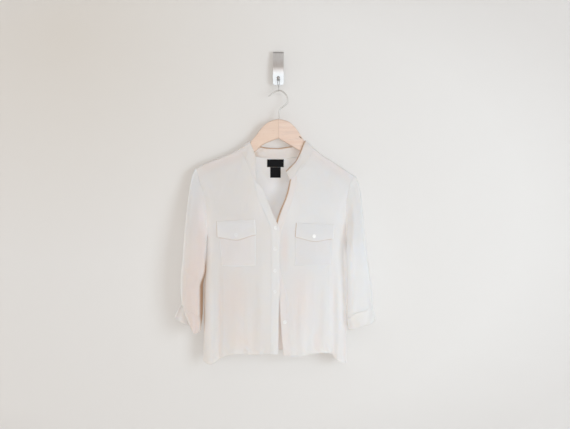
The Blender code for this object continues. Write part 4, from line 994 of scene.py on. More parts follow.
def wood_finish(name, seed, pale, dark, dark_spot=None):
    """Lacquered beech: long grain along the board with the short dark flecks of its rays. The seed makes one
    board's grain shorter and its patches stronger than the other's."""
    made = Finish(name)
    grain = made.noise("object", (7 + seed, 60, 95), detail=6.0, roughness=0.62)
    figure = made.noise("object", (9, 40, 210), detail=3.0)
    streak = made.maths("MULTIPLY_ADD", figure, 0.30, made.times(grain, 0.70))
    colour = made.blend(made.ramp(streak, 0.30, 0.78), dark, pale)
    patches = made.ramp(made.noise("object", (16, 30, 48 + 20 * seed), detail=2.0), 0.50, 0.66)
    colour = made.blend(made.times(patches, 0.10 + 0.26 * seed), colour, WOOD_PATCH)
    flecks = made.ramp(made.noise("object", (110, 60, 900), detail=2.0), 0.62, 0.74)
    for dark_line in (flecks, made.ramp(made.away(*BOARD_JOINT), 1.0, 0.3)):
        colour = made.blend(made.times(dark_line, 0.40), colour, WOOD_FLECK)
    # A small dark spot near the top edge of the left board.
    if dark_spot:
        colour = made.blend(made.ramp(made.away(*dark_spot), 1.0, 0.5), colour, WOOD_DARK_SPOT)
    made.bump(made.noise("object", (60, 900, 1600), detail=2.0), 0.12, 0.0003)
    return made.finish(Base_Color=colour, Roughness=made.between(grain, 0.30, 0.46), Coat_Weight=0.25,
                       Coat_Roughness=0.22)


def button_finish(name, dark, pale):
    """Polished shell: a swirl of pearl in pale layers."""
    made = Finish(name)
    layers = made.noise("object", (180, 180, 420), detail=5.0, roughness=0.7)
    made.bump(layers, 0.04, 0.0004)
    return made.finish(Base_Color=made.blend(made.ramp(layers, 0.3, 0.7), dark, pale),
                       Roughness=made.between(layers, 0.10, 0.22), Coat_Weight=0.6, Coat_Roughness=0.06)


def wire_finish(name, dark, pale, rough):
    """Plated wire, with the faint draw marks of its making."""
    made = Finish(name)
    marks = made.noise("object", (420, 420, 60), detail=3.0)
    made.bump(marks, 0.05, 0.0004)
    return made.finish(Base_Color=made.blend(marks, dark, pale), Metallic=1.0,
                       Roughness=made.between(marks, rough, rough + 0.12))


def strip_finish():
    """Brushed steel: fine lines down the strip, a few smudges, a painted dim reflection over its top and a
    painted cool reflection over its foot.
    """
    made = Finish("brushed_strip")
    brush = made.noise("object", (1100, 300, 9), detail=3.0, roughness=0.6)
    smudge = made.noise("object", (60, 60, 40), detail=3.0)
    # Painted reflections: dim over the top and cool over the foot.
    dim_reflection = made.ramp(made.away(*DIM_REFLECTION_SPOT), 1.0, 0.2)
    cool_reflection = made.ramp(made.away(*COOL_REFLECTION_SPOT), 1.0, 0.4)
    colour = made.blend(brush, *STRIP_COLOURS)
    colour = made.blend(made.times(dim_reflection, 0.40), colour, STEEL_DIM_REFLECTION)
    colour = made.blend(made.times(cool_reflection, 0.70), colour, STEEL_COOL_REFLECTION)
    made.bump(brush, 0.05, 0.0002)
    roughness = made.maths("ADD", made.between(brush, 0.25, 0.35), made.times(smudge, 0.08))
    return made.finish(Base_Color=colour, Metallic=1.0, Roughness=roughness)


def wall_finish():
    """Pale matt paint with painted shade towards the upper left and the edges, which shows only from the
    front and lets shadow rays through.
    """
    made = Finish("wall_paint")
    colour = WALL_COLOUR
    # Painted shade over the plain paint.
    for spot, begins, complete, shade_paint in WALL_PAINTED_SHADE:
        colour = made.blend(made.ramp(made.away(*spot), begins, complete), colour, shade_paint)
    made.bump(made.noise("object", (30, 30, 30), detail=5.0), 0.05, 0.001)
    unseen = made.maths("MAXIMUM", made.read("ShaderNodeNewGeometry", "Backfacing"),
                        made.read("ShaderNodeLightPath", "Is Shadow Ray"))
    clear = made.read("ShaderNodeBsdfTransparent", "BSDF")
    both = made.nodes.new("ShaderNodeMixShader")
    for socket, value in zip(both.inputs, (unseen, made.shader.outputs[0], clear)):
        made.feed(socket, value)
    made.feed(made.nodes["Material Output"].inputs["Surface"], both.outputs[0])
    return made.finish(Base_Color=colour, Roughness=0.9, Specular_IOR_Level=0.1)


FINISHES = {
    "silk": silk_finish(),
    "thread": thread_finish(),
    "tape": tape_finish(),
    "wood_right": wood_finish("beech_right", 0, (0.760, 0.600, 0.490), (0.690, 0.515, 0.405)),
    "wood_left": wood_finish("beech_left", 2, (0.800, 0.662, 0.565), (0.670, 0.480, 0.380), DARK_SPOT),
    "button": button_finish("pearl_button", (0.76, 0.77, 0.78), (0.88, 0.88, 0.87)),
    # A brighter copy of the pearl, which paints a highlight on the left flap's button.
    "button_bright": button_finish("pearl_button_highlight", (0.90, 0.90, 0.90), (0.96, 0.96, 0.95)),
    "wire": wire_finish("plated_wire", (0.50, 0.49, 0.47), (0.62, 0.61, 0.59), 0.32),
    "dull_wire": wire_finish("dull_wire", (0.26, 0.25, 0.24), (0.36, 0.35, 0.34), 0.36),
    "strip": strip_finish(),
    "wall": wall_finish(),
    "floor": Finish("floor_paint").finish(Base_Color=FLOOR_COLOUR, Roughness=0.8),
}


# ---------------------------------------------------------------- making pieces

# A stitch is a bead with six corners, given in half lengths, half widths and half heights.
STITCH_CORNERS = ((-1, 0, 0), (1, 0, 0), (0, 1, 0), (0, 0, 1), (0, -1, 0), (0, 0, -1))
STITCH_SIDES = ((2, 3), (3, 4), (4, 5), (5, 2))
STITCH_HALF_WIDTH = 0.00022
STITCH_HALF_HEIGHT = 0.00017


def place_piece(piece, slot, *nodes):
    """The piece rides on the part's one body and stands for the given nodes, which it hides. The slot is not
    used.
    """
    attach(piece, "root")
    if nodes:
        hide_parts(*nodes)
    return piece


def add_object(name, data):
    made = bpy.data.objects.new(name, data)
    bpy.context.scene.collection.objects.link(made)
    return made


def add_mesh(name, points, faces, finish, sharp=None):
    """A smooth mesh, with sharp edges where its faces meet at more than sharp degrees."""
    mesh = bpy.data.meshes.new(name)
    mesh.from_pydata([tuple(p) for p in points], [], [tuple(f) for f in faces])
    mesh.shade_smooth()
    mesh.materials.append(FINISHES[finish])
    if sharp:
        mesh.set_sharp_from_angle(angle=math.radians(sharp))
    return add_object(name, mesh)


def weave_map(piece, grid, faces):
    """Cloth lengths as a map, so that the weave runs along the cloth."""
    across = np.linalg.norm(np.diff(grid, axis=1), axis=-1)
    down = np.linalg.norm(np.diff(grid, axis=0), axis=-1)
    u = np.concatenate([np.zeros((grid.shape[0], 1)), np.cumsum(across, axis=1)], axis=1)
    v = np.concatenate([np.zeros((1, grid.shape[1])), np.cumsum(down, axis=0)], axis=0)
    places = np.stack([u.ravel(), -v.ravel()], axis=-1)
    layer = piece.data.uv_layers.new(name="weave")
    layer.uv.foreach_set("vector", places[faces.ravel()].astype(np.float32).ravel())


def add_sheet(name, grid, thickness, finish, warm_light=0.0, highlight=0.0, shade=0.0):
    """A sheet through a grid of points, with its wall and its painted light: a warm light, a highlight and a
    shade.
    """
    rows, columns = grid.shape[:2]
    index = np.arange(rows * columns).reshape(rows, columns)
    corners = (index[:-1, :-1], index[1:, :-1], index[1:, 1:], index[:-1, 1:])
    faces = np.stack([c.ravel() for c in corners], axis=-1)
    piece = add_mesh(name, grid.reshape(-1, 3), faces.tolist(), finish)
    weave_map(piece, grid, faces)
    # One channel each for the painted warm light, highlight and shade.
    painted_light = np.ones((rows, columns, 4), np.float32)
    for channel, amount in enumerate((warm_light, highlight, shade)):
        painted_light[..., channel] = np.clip(amount, 0, 1)
    layer = piece.data.attributes.new("painted_light", "FLOAT_COLOR", "POINT")
    layer.data.foreach_set("color", painted_light.ravel())
    wall = piece.modifiers.new("Wall", "SOLIDIFY")
    wall.thickness = thickness
    wall.offset = 0
    return piece


def at_length(values, along, length):
    """A path's points or normals, read at a length along it."""
    return np.array([np.interp(length, along, values[:, k]) for k in range(3)])


def add_stitches(name, runs, pitch=0.0027, length=0.0019):
    """Machine stitches along runs of points. Each run is (points, outward normals, how far out they lie)."""
    points, faces = [], []
    for path, normals, out in runs:
        along = lengths_along(path)
        for middle in np.arange(pitch, along[-1] - pitch / 2, pitch):
            centre = at_length(path, along, middle)
            tangent = unit(at_length(path, along, middle + length / 2) - centre)
            normal = unit(at_length(normals, along, middle))
            beside = np.cross(normal, tangent)
            first = len(points)
            for a, b, c in STITCH_CORNERS:
                level = centre + normal * out + tangent * a * (length / 2) + beside * b * STITCH_HALF_WIDTH
                points.append(level + normal * c * STITCH_HALF_HEIGHT)
            for a, b in STITCH_SIDES:
                faces.append((first, first + b, first + a))
                faces.append((first + 1, first + a, first + b))
    return place_piece(add_mesh(name, points, faces, "thread"), "silk")


def row_run(grid, row, out, flip=1, part=slice(None)):
    """A run of stitches across a grid at a fractional row."""
    low = min(int(row), len(grid) - 2)
    normals = grid_normals(grid) * flip
    return mix(grid[low, part], grid[low + 1, part], row - low), normals[low, part], out


def column_run(grid, column, out, flip=1):
    """A run of stitches down a grid at a fractional column."""
    return row_run(grid.swapaxes(0, 1), column, out, -flip)


def add_wire(name, points, radius, finish, cyclic=False):
    curve = bpy.data.curves.new(name, "CURVE")
    curve.dimensions = "3D"
    curve.bevel_depth = radius
    curve.bevel_resolution = 5
    curve.use_fill_caps = not cyclic
    spline = curve.splines.new("POLY")
    spline.points.add(len(points) - 1)
    for place, point in zip(spline.points, points):
        place.co = (*point, 1)
    spline.use_cyclic_u = cyclic
    curve.materials.append(FINISHES[finish])
    return add_object(name, curve)


def turned_mesh(profile, segments):
    """Points and faces of a turned shape. profile is (radius, height) from the top to the bottom."""
    points, faces, rings = [], [], []
    for radius, height in profile:
        first = len(points)
        if radius == 0:
            points.append((0, 0, height))
            rings.append([first] * segments)
            continue
        for angle in 2 * math.pi * np.arange(segments) / segments:
            points.append((radius * math.cos(angle), radius * math.sin(angle), height))
        rings.append(list(range(first, first + segments)))
    for upper, lower in zip(rings, rings[1:]):
        for k in range(segments):
            n = (k + 1) % segments
            faces.append(tuple(dict.fromkeys((upper[k], lower[k], lower[n], upper[n]))))
    return points, faces


def stand_on(piece, centre, normal):
    """Turns the piece's own +Z to the normal and moves it to the centre."""
    piece.rotation_euler = Vector(normal).to_track_quat("Z", "Y").to_euler()
    piece.location = centre


# ---------------------------------------------------------------- the wall hook, the hanger and its wire

SHARP = 50  # edges of turned and sawn pieces that meet at more than this many degrees stay sharp
STRIP_EDGE_WIDTH = 0.0004
STRIP_EDGE_ANGLE = 40
PIN_TIP_Y = -0.0335
PIN_RIM = 0.00025  # the rounding of the pin's and its head's rims
HEAD_RADIUS = 0.0045
HEAD_HALF = 0.001
LOOP_STEPS = 84
HOOK_SUMMIT = 4  # the point of HOOK_ROUTE that lies over the loop's foot
JOINT_GAP = 0.00015


def strip_profile():
    """The strip's middle line as (y, z): up the wall, over the fold, and down to the tip."""
    half = STRIP_THICK / 2
    bend = (abs(STRIP_LIP_Y) - half) / 2
    profile = [(-half, z) for z in np.linspace(STRIP_BACK_BOTTOM, STRIP_BACK_TOP, 9)]
    for angle in np.linspace(0, math.pi, 17)[1:]:
        profile.append((-half - bend + bend * math.cos(angle), STRIP_BACK_TOP + bend * math.sin(angle)))
    for t in np.linspace(0, 1, 7)[1:-1]:
        profile.append((mix(STRIP_LIP_Y, STRIP_FRONT_Y, t), mix(STRIP_BACK_TOP, STRIP_KNEE_Z, t)))
    profile.append((STRIP_FRONT_Y, STRIP_KNEE_Z))
    for t in np.linspace(1, 0, 4)[1:-1]:
        profile.append((STRIP_FRONT_Y, mix(STRIP_TIP_Z + STRIP_CORNER, STRIP_KNEE_Z, t)))
    for i in range(9):
        profile.append((STRIP_FRONT_Y, STRIP_TIP_Z + STRIP_CORNER * (1 - math.sin(math.pi / 2 * i / 8))))
    return profile


def add_strip():
    """A strip folded over at the top, with rounded lower corners."""
    rows = []
    for y, z in strip_profile():
        inset = STRIP_CORNER - min(z - STRIP_TIP_Z, STRIP_CORNER) if y == STRIP_FRONT_Y else 0
        reach = STRIP_WIDTH / 2 - STRIP_CORNER + math.sqrt(STRIP_CORNER**2 - inset**2)
        rows.append([(x, y, z) for x in np.linspace(-reach, reach, 7)])
    strip = add_sheet("steel_strip", np.array(rows), STRIP_THICK, "strip")
    rounded = strip.modifiers.new("Rounded", "BEVEL")
    rounded.width = STRIP_EDGE_WIDTH
    rounded.segments = 2
    rounded.limit_method = "ANGLE"
    rounded.angle_limit = math.radians(STRIP_EDGE_ANGLE)
    rounded.harden_normals = True
    place_piece(strip, "strip", "wall_hook")


def add_pin():
    """The pin in the strip, and its head."""
    start_y = STRIP_FRONT_Y - STRIP_THICK / 2 - PIN_GAP
    half = (start_y - PIN_TIP_Y) / 2
    shaft = [(0, half), (PIN_RADIUS - PIN_RIM, half), (PIN_RADIUS, half - PIN_RIM), (PIN_RADIUS, -half),
             (0, -half)]
    head = [(0, HEAD_HALF), (0.0028, HEAD_HALF * 0.85), (0.0039, HEAD_HALF * 0.45),
            (HEAD_RADIUS, -HEAD_HALF * 0.2), (HEAD_RADIUS - PIN_RIM, -HEAD_HALF), (0, -HEAD_HALF)]
    head_y = PIN_TIP_Y - PIN_GAP - HEAD_HALF
    for name, node, profile, middle_y, segments in (
        ("pin_shaft", "hook_pin", shaft, (start_y + PIN_TIP_Y) / 2, 24),
        ("pin_cap", "pin_head", head, head_y, 32),
    ):
        piece = add_mesh(name, *turned_mesh(profile, segments), "dull_wire", SHARP)
        stand_on(piece, (0, middle_y, PIN_Z), (0, -1, 0))
        place_piece(piece, "wire", node)


def add_loop():
    """The wire loop that carries the hanger: over the pin, round by a quarter turn, and under the hook."""
    upper_half = PIN_RADIUS + PIN_GAP + LOOP_WIRE
    lower_half = HOOK_WIRE + PIN_GAP + LOOP_WIRE
    top = PIN_Z + upper_half
    foot = HOOK_ROUTE[HOOK_SUMMIT][1] - lower_half
    points = []
    for turn in np.linspace(0, 2 * math.pi, LOOP_STEPS + 1)[:-1]:
        down = (1 - math.cos(turn)) / 2
        z = mix(top, foot, down)
        near_top = min((top - z) / upper_half, 1)
        near_foot = min((z - foot) / lower_half, 1)
        width = mix(upper_half, lower_half, smooth(down))
        width *= math.sqrt(1 - (1 - near_top) ** 2) * math.sqrt(max(1 - (1 - near_foot) ** 2, 0))
        quarter = math.pi / 2 * smooth((down - TWIST_START) / TWIST_REACH)
        reach = width if turn < math.pi else -width
        points.append((LOOP_LEAN * down + reach * math.cos(quarter), HANGER_Y + reach * math.sin(quarter), z))
    place_piece(add_wire("loop_wire", points, LOOP_WIRE, "dull_wire", cyclic=True), "wire", "wire_loop")


def hanger_top(x):
    """The wood's upper edge: its crown over the neck, and further out just under the cloth."""
    reach = 0.001
    slope = (RIDGE.at(x + reach, "z") - RIDGE.at(x - reach, "z")) / (2 * reach)
    under_cloth = RIDGE.at(x, "z") - WOOD_CLEAR * np.hypot(1, slope)
    crowned = (x >= HANGER_CROWN.keys[0]) & (x <= HANGER_CROWN.keys[-1])
    return np.where(crowned, HANGER_CROWN.at(x, "z"), under_cloth)


def board_stations(side):
    """Sections of a hanger board from its flat joint to its rounded end: x, middle height, half height and
    half thickness."""
    end = ARM_END_X[side]
    along = np.linspace(HANGER_MIDDLE_X + side * JOINT_GAP, end, 72)
    high, low = hanger_top(along), HANGER_UNDER[side].at(along, "z")
    half, thick = (high - low) / 2, np.full(len(along), WOOD_THICK / 2)
    stations = list(zip(along, (high + low) / 2, half, thick))
    _, middle, half, thick = stations[-1]
    for angle in np.linspace(0, math.pi / 2, 12)[1:]:
        reach, narrow = math.sin(angle), max(math.cos(angle), 0.02)
        x = end + side * half * ARM_END_ROUND * reach
        stations.append((x, middle, half * narrow, thick * narrow**0.6))
    return stations


def rounded_ring(half_y, half_z, radius, steps=6):
    """Once round a rectangle with rounded corners, as y and z."""
    radius = min(radius, half_y * 0.98, half_z * 0.98)
    ring = []
    for corner in range(4):
        y = (half_y - radius) * (1 if corner in (0, 3) else -1)
        z = (half_z - radius) * (1 if corner < 2 else -1)
        for angle in np.linspace(corner, corner + 1, steps) * math.pi / 2:
            ring.append((y + radius * math.cos(angle), z + radius * math.sin(angle)))
    return ring


def add_board(side, wearer):
    """One board, lofted through its sections, with its two ends closed."""
    rings = []
    for x, middle, half, thick in board_stations(side):
        rings.append([(x, HANGER_Y + y, middle + z) for y, z in rounded_ring(thick, half, WOOD_ROUND)])
    count = len(rings[0])
    faces = [tuple(range(count)), tuple(range((len(rings) - 1) * count, len(rings) * count))[::-1]]
    for ring in range(len(rings) - 1):
        for k in range(count):
            n = (k + 1) % count
            faces.append((ring * count + k, (ring + 1) * count + k, (ring + 1) * count + n, ring * count + n))
    if side > 0:
        faces = [face[::-1] for face in faces]
    points = [point for ring in rings for point in ring]
    board = add_mesh(f"hanger_board_{wearer}", points, faces, f"wood_{wearer}", SHARP)
    place_piece(board, "wood", f"hanger_arm_{wearer}")


def add_hanger():
    """Two boards that meet in the middle, and a wire hook over their joint."""
    knots = [np.array((x, HANGER_Y, z)) for x, z in HOOK_ROUTE]
    padded = [knots[0], *knots, knots[-1]]
    points = []
    for before, start, end, after in zip(padded, padded[1:], padded[2:], padded[3:]):
        for t in np.linspace(0, 1, 7)[:-1]:
            points.append(hermite(start, end, (end - before) / 2, (after - start) / 2, t))
    hook = add_wire("hook_wire", [*points, knots[-1]], HOOK_WIRE, "wire")
    place_piece(hook, "wire", "hanger_hook")
    for side, wearer in SIDES:
        add_board(side, wearer)


# ---------------------------------------------------------------- the blouse

ARMS = ["hanger_board_right", "hanger_board_left"]
# How finely the pieces are cut, in rows and columns of their grids.
BODY_ROWS = body_rows(64, 118)
FRONT_SHARES = side_shares(84, UNDER_BAND)
BACK_COLUMNS = back_columns(72, 26)
SLEEVE_COLUMNS, CAP_ROWS, TUBE_ROWS, CUFF_ROWS = 104, 34, 52, 16
COLLAR_ROWS = 14
BAND_COLUMNS = 16
HEM_ROWS = 4.2  # from the hem up to its stitches
UNSTITCHED_COLUMNS = 12  # of a sleeve's top, on each side of the underarm seam
LABEL_GRID = (24, 12)  # columns and rows
TAB_GRID = (16, 16)
# Stitches of other sizes than the seams': the distance between two, and the length of one.
LABEL_STITCH = {"pitch": 0.0022, "length": 0.0014}
BUTTON_THREAD = {"pitch": 0.00155, "length": 0.0030}
BUTTONHOLE_STITCH = {"pitch": 0.0008, "length": 0.0011}
TAB_GAP = 0.0003
# The rim's section in radii and thicknesses, from the plate outwards, over the edge and back underneath.
BUTTON_RIM = ((0.66, 0.12), (0.72, 0.36), (0.80, 0.50), (0.92, 0.50), (0.985, 0.34), (1.0, 0.05),
              (0.985, -0.30), (0.90, -0.5), (0.66, -0.5))
PLATE_RADIUS, EYE_RADIUS, EYE_PLACE = 0.70, 0.115, 0.26  # of a button's plate and its four holes, in radii
PLATE_HALF, PLATE_DROP = 0.27, 0.22  # in thicknesses
THREAD_REACH = 0.36  # of the sewing thread on a button, to each side of its middle, in radii
THREAD_LIFT = 0.0002  # over a button's middle
BUTTON_SHARP = 45
FLAP_FACE = 0.0041  # underside of a flap's button over the front
# The slits in the right band, at its buttons and below them.
BUTTONHOLES = (*PLACKET_BUTTONS, (-0.0095, -0.6730), (-0.0105, -0.7310))
SLIT_HALF_WIDTH, SLIT_HALF_HEIGHT = 0.0010, 0.0072
SLIT_LIFT = 0.0008
# For each sleeve, soft patches of painted light: turn and its reach, way down and its reach, and how much
# warm painted light (or, below zero, how much painted highlight) the patch has.
SLEEVE_TINTS = {
    -1: ((0.05, 0.10, 0.5, 1.2, -1.6), (0.27, 0.22, 0.8, 1.0, 0.7), (0.38, 0.20, 0.55, 0.8, 0.9)),
    1: ((0.40, 0.16, 0.22, 0.30, 1.0), (0.24, 0.34, 0.4, 1.0, -0.8), (0.43, 0.17, 0.55, 0.75, -4.0)),
}


def hang_sheet(name, node, grid, thickness, rests_on, finish="silk", **tones):
    """A sheet of cloth or tape that stands for a node. What carries it, rests_on, is not used."""
    kind = "tape" if finish == "tape" else "cloth"
    piece = add_sheet(f"{name}_{kind}", grid, thickness, finish, **tones)
    place_piece(piece, finish, node)


def with_tints(warm_light, highlight, patches):
    """The warm painted light and the painted highlight, with soft patches as (strength, amount). An amount
    below 0 is a painted highlight.
    """
    for patch, amount in patches:
        if amount > 0:
            warm_light = warm_light + amount * patch
        else:
            highlight = highlight - HIGHLIGHT_SHARE * amount * patch
    return warm_light, highlight


def wood_behind(x, z):
    """1 where the hanger's boards lie right behind the cloth."""
    under = np.where(x > HANGER_MIDDLE_X, HANGER_UNDER[1].at(x, "z"), HANGER_UNDER[-1].at(x, "z"))
    from_below = smooth((z - under + 0.010) / 0.030)
    return from_below * smooth((x + 0.222) / 0.02) * smooth((0.205 - x) / 0.02)


def standing_out(creases, folds, x, z):
    """Above 0 on the ridges of the cloth's folds, and below 0 in their troughs."""
    return (crease_height(creases, x, z) + fold_height(folds, x, z) * 0.3) / FULL_RELIEF


def side_distance(x, z):
    """How far a place lies inside the body's side seam."""
    edge = np.where(x > 0, SIDE[1].at(z, "x"), -SIDE[-1].at(z, "x"))
    return edge - np.abs(x)


def front_tones(x, z):
    """Painted light: warm where the wood shows through, in troughs and beside the sleeves, highlights on
    ridges and by the left sleeve, and brown painted shadow in the right sleeve's gap.
    """
    patches = []
    for middle_x, middle_z, reach_x, reach_z, amount in FRONT_TINTS:
        patches.append((hump(np.hypot((x - middle_x) / reach_x, (z - middle_z) / reach_z), 1), amount))
    # Painted show-through of the wood behind, and the soft patches of painted light.
    warm_light, highlight = with_tints(0.28 * wood_behind(x, z), 0.0, patches)
    relief = standing_out(FRONT_CREASES, FRONT_FOLDS, x, z)
    # Painted shade beside the sleeves and in the right sleeve's open gap, a painted highlight on the lit side
    # by the left sleeve, and a faint painted shade over the wearer's right half and the middle.
    reach = np.where(x < 0, 0.005, 0.012)
    beside_sleeve = smooth((reach - side_distance(x, z)) / 0.006) * smooth((-0.40 - z) / 0.05)
    open_gap = np.where(x < 0, smooth((-0.54 - z) / 0.04) * smooth((z + 0.74) / 0.05), 0)
    under_sleeve = smooth((-0.47 - z) / 0.06) * smooth((z + 0.74) / 0.06)
    lit_side = np.where(x > 0, 0.8, 0.0) * beside_sleeve * under_sleeve
    return {"warm_light": warm_light + 0.25 * np.clip(-relief, 0, 1) + np.where(x < 0, 0.6, 0.3) * beside_sleeve,
            "highlight": highlight + 0.06 * np.clip(relief, 0, 1) + lit_side,
            "shade": 0.85 * beside_sleeve * open_gap + 0.075 * smooth(0.7 - x / 0.1)}


def back_tones(x, z):
    """As on the front, with painted light where the back shows in the V and in the gap below the buttons, and
    painted shadow beside the left front's V edge.
    """
    relief = standing_out(BACK_CREASES, BACK_FOLDS, x, z)
    # Warm painted light: the wood showing through, warm shade in troughs, and a little all over.
    warm_light = 0.30 * wood_behind(x, z) + 0.25 * np.clip(-relief, 0, 1) + 0.12
    neck_edge = hump(x - EDGE[1].at(z, "x") - 0.001, 0.007)
    beside_neck = neck_edge * smooth((-0.31 - z) / 0.03) * smooth((z + 0.46) / 0.02)
    in_gap = hump(x - 0.010, 0.020) * smooth((-0.56 - z) / 0.06)
    in_vee = hump((x - 0.004) / 0.060, 1) * smooth((-0.29 - z) / 0.05) * smooth((z + 0.50) / 0.05)
    return {"warm_light": warm_light + 0.9 * in_gap + 0.5 * in_vee,
            "highlight": 0.05 * np.clip(relief, 0, 1) + 0.7 * in_vee,
            "shade": 0.15 * beside_neck + 0.05 * in_gap}


def sleeve_tones(side, turns, ways):
    patches = []
    for turn, half, way, reach, amount in SLEEVE_TINTS[side]:
        away = (turns - turn + 0.5) % 1 - 0.5
        patches.append((hump(away, half) * hump(ways - way, reach), amount))
    warm_light, highlight = with_tints(0.0, 0.0, patches)
    relief = sleeve_creases(side, turns, ways) / FULL_RELIEF
    # Painted shade where the sleeve faces the body, brown and strong on the right sleeve, and a tan painted
    # shade over each sleeve's front; warm painted shade in troughs and highlights on ridges.
    beside_body = hump((turns - 0.03) % 1 - 0.5, 0.09) * smooth((ways - 0.40) / 0.15)
    if side < 0:
        shade = 0.9 * beside_body + 0.12 * hump(turns % 1 - 0.30, 0.26) * smooth((ways - 0.05) / 0.5)
    else:
        shade = 0.06 * beside_body + 0.05 * hump(turns % 1 - 0.42, 0.14) * hump(ways - 0.20, 0.25)
    return {"warm_light": warm_light + 0.2 * np.clip(-relief, 0, 1) + 0.5 * beside_body,
            "highlight": highlight + 0.05 * np.clip(relief, 0, 1), "shade": shade}


def cuff_tones(side, turns, way):
    """As at the sleeve's end, with a painted highlight along the slit's edge and painted light on the panel
    behind the slit, and a painted shade line before it.
    """
    tones = sleeve_tones(side, turns, 1 + 0.1 * way)
    slit_edge = smooth(1.2 - (1 - turns) / 0.015)
    panel_edge = smooth(1.4 - turns / 0.012) * smooth(way * 3)
    behind_slit = hump(turns - 0.90, 0.10) * smooth(way * 3)
    return {"warm_light": tones["warm_light"] + 0.35 * behind_slit,
            "highlight": tones["highlight"] + 0.7 * slit_edge + 0.6 * behind_slit,
            "shade": (tones["shade"] + 0.03 * behind_slit) * (1 - slit_edge) + 0.35 * panel_edge}


def patch_tones(side, name, grid, z):
    """A pocket's or flap's painted light: highlights at its turned edges, a warm light inside, and painted
    shadow under the flap or along one side.
    """
    across = np.linspace(0, 1, grid.shape[1])
    down = np.linspace(0, 1, grid.shape[0])[:, None]
    edge = 1 - smooth(np.minimum(np.minimum(across, 1 - across), 1 - down) / 0.045)
    if name == "pocket":
        under_flap = hump(z - low_edge(FLAP[side], across) + 0.0006, 0.0026)
        return {"warm_light": (0.35 if side < 0 else 0.18) * (1 - edge), "highlight": 0.12 * edge,
                "shade": 0.35 * under_flap}
    left_edge = 1 - smooth((across if side < 0 else 1 - across) / 0.02)
    dim = 0.6 if side < 0 else 1.0
    return {"warm_light": 0.08 * (1 - edge), "highlight": 0.08 + 0.2 * edge, "shade": dim * left_edge}


def add_body():
    runs = []
    for side, wearer in SIDES:
        grid, x, z = front_grid(side, BODY_ROWS, FRONT_SHARES)
        hang_sheet(f"front_{wearer}", f"front_{wearer}", grid, SILK, ARMS, **front_tones(x, z))
        runs.append(row_run(grid, len(grid) - HEM_ROWS, SILK / 2, side))
    grid, x, z = back_grid(BODY_ROWS, BACK_COLUMNS)
    hang_sheet("back", "back", grid, SILK, ARMS, **back_tones(x, z))
    runs.append(row_run(grid, len(grid) - HEM_ROWS, SILK / 2, -1))
    add_stitches("hem_stitches", runs)


def add_collar():
    grid = collar_grid(COLLAR_ROWS)
    along = np.linspace(-1, 1, grid.shape[1])
    way = np.linspace(0, 1, grid.shape[0])[:, None]
    # Painted shade: a streak at the crumple, a shadow line along the free edge, and a little all over; warm
    # painted light in the middle and a faint highlight towards the ends.
    crumpled = hump(along + 0.22, 0.15) * smooth(ripple(along * 24, way * 3) + 0.5)
    edge_shade = 0.9 * smooth((way - 0.86) / 0.10) * smooth((along + 0.45) / 0.2)
    tones = {"warm_light": 0.20 * hump(along, 0.6), "highlight": 0.02 * smooth(np.abs(along) * 3 - 1),
             "shade": edge_shade + 0.07 + 0.25 * crumpled}
    hang_sheet("collar", "collar_stand", grid, DOUBLE_SILK, ["back_cloth", *ARMS], **tones)
    rows = (1.0, COLLAR_ROWS - 1.0)
    return [row_run(grid, row, DOUBLE_SILK / 2, flip) for row in rows for flip in (1, -1)]


def add_band(side, wearer):
    grid, x, z = band_grid(side, BODY_ROWS, BAND_COLUMNS)
    # Painted light: a faint highlight on the right band's lower part, and on the left band a warm light with
    # a painted shadow line along its free edge.
    if side < 0:
        tones = {"highlight": 0.05 * smooth((-0.40 - z) / 0.05)}
    else:
        free_edge = smooth((np.linspace(0, 1, grid.shape[1]) - 0.74) / 0.14)
        tones = {"warm_light": 0.30, "shade": 0.8 * free_edge * smooth((z + 0.46) / 0.02)}
    front = f"front_{wearer}_cloth"
    hang_sheet(f"band_{wearer}", f"front_band_{wearer}", grid, DOUBLE_SILK, [front], **tones)
    columns = (1.6, BAND_COLUMNS - 1.6)
    return [column_run(grid, column, DOUBLE_SILK / 2, side) for column in columns]


def add_collar_and_bands():
    runs = add_collar()
    for side, wearer in SIDES:
        runs += add_band(side, wearer)
    add_stitches("band_stitches", runs)


def add_sleeve(side, wearer):
    grid, turns, ways = sleeve_grid(side, SLEEVE_COLUMNS, CAP_ROWS, TUBE_ROWS)
    body = [f"front_{wearer}_cloth", "back_cloth"]
    tones = sleeve_tones(side, turns, ways)
    hang_sheet(f"sleeve_{wearer}", f"sleeve_{wearer}", grid, SILK, body, **tones)
    stitched = slice(UNSTITCHED_COLUMNS, -UNSTITCHED_COLUMNS)
    return [row_run(grid, 0.9, SILK / 2, -side, stitched)]


def add_cuff(side, wearer):
    cuff, turns, way = cuff_grid(side, SLEEVE_COLUMNS, CUFF_ROWS)
    tones = cuff_tones(side, turns, way)
    hang_sheet(f"cuff_{wearer}", f"cuff_{wearer}", cuff, DOUBLE_SILK, [f"sleeve_{wearer}_cloth"], **tones)
    runs = [row_run(cuff, row, DOUBLE_SILK / 2, -side) for row in (0.9, CUFF_ROWS - 1.0)]
    columns = (2.0, SLEEVE_COLUMNS - 2.0)
    return runs + [column_run(cuff, column, DOUBLE_SILK / 2, -side) for column in columns]


def add_sleeves():
    runs = []
    for side, wearer in SIDES:
        runs += add_sleeve(side, wearer) + add_cuff(side, wearer)
    add_stitches("sleeve_stitches", runs)


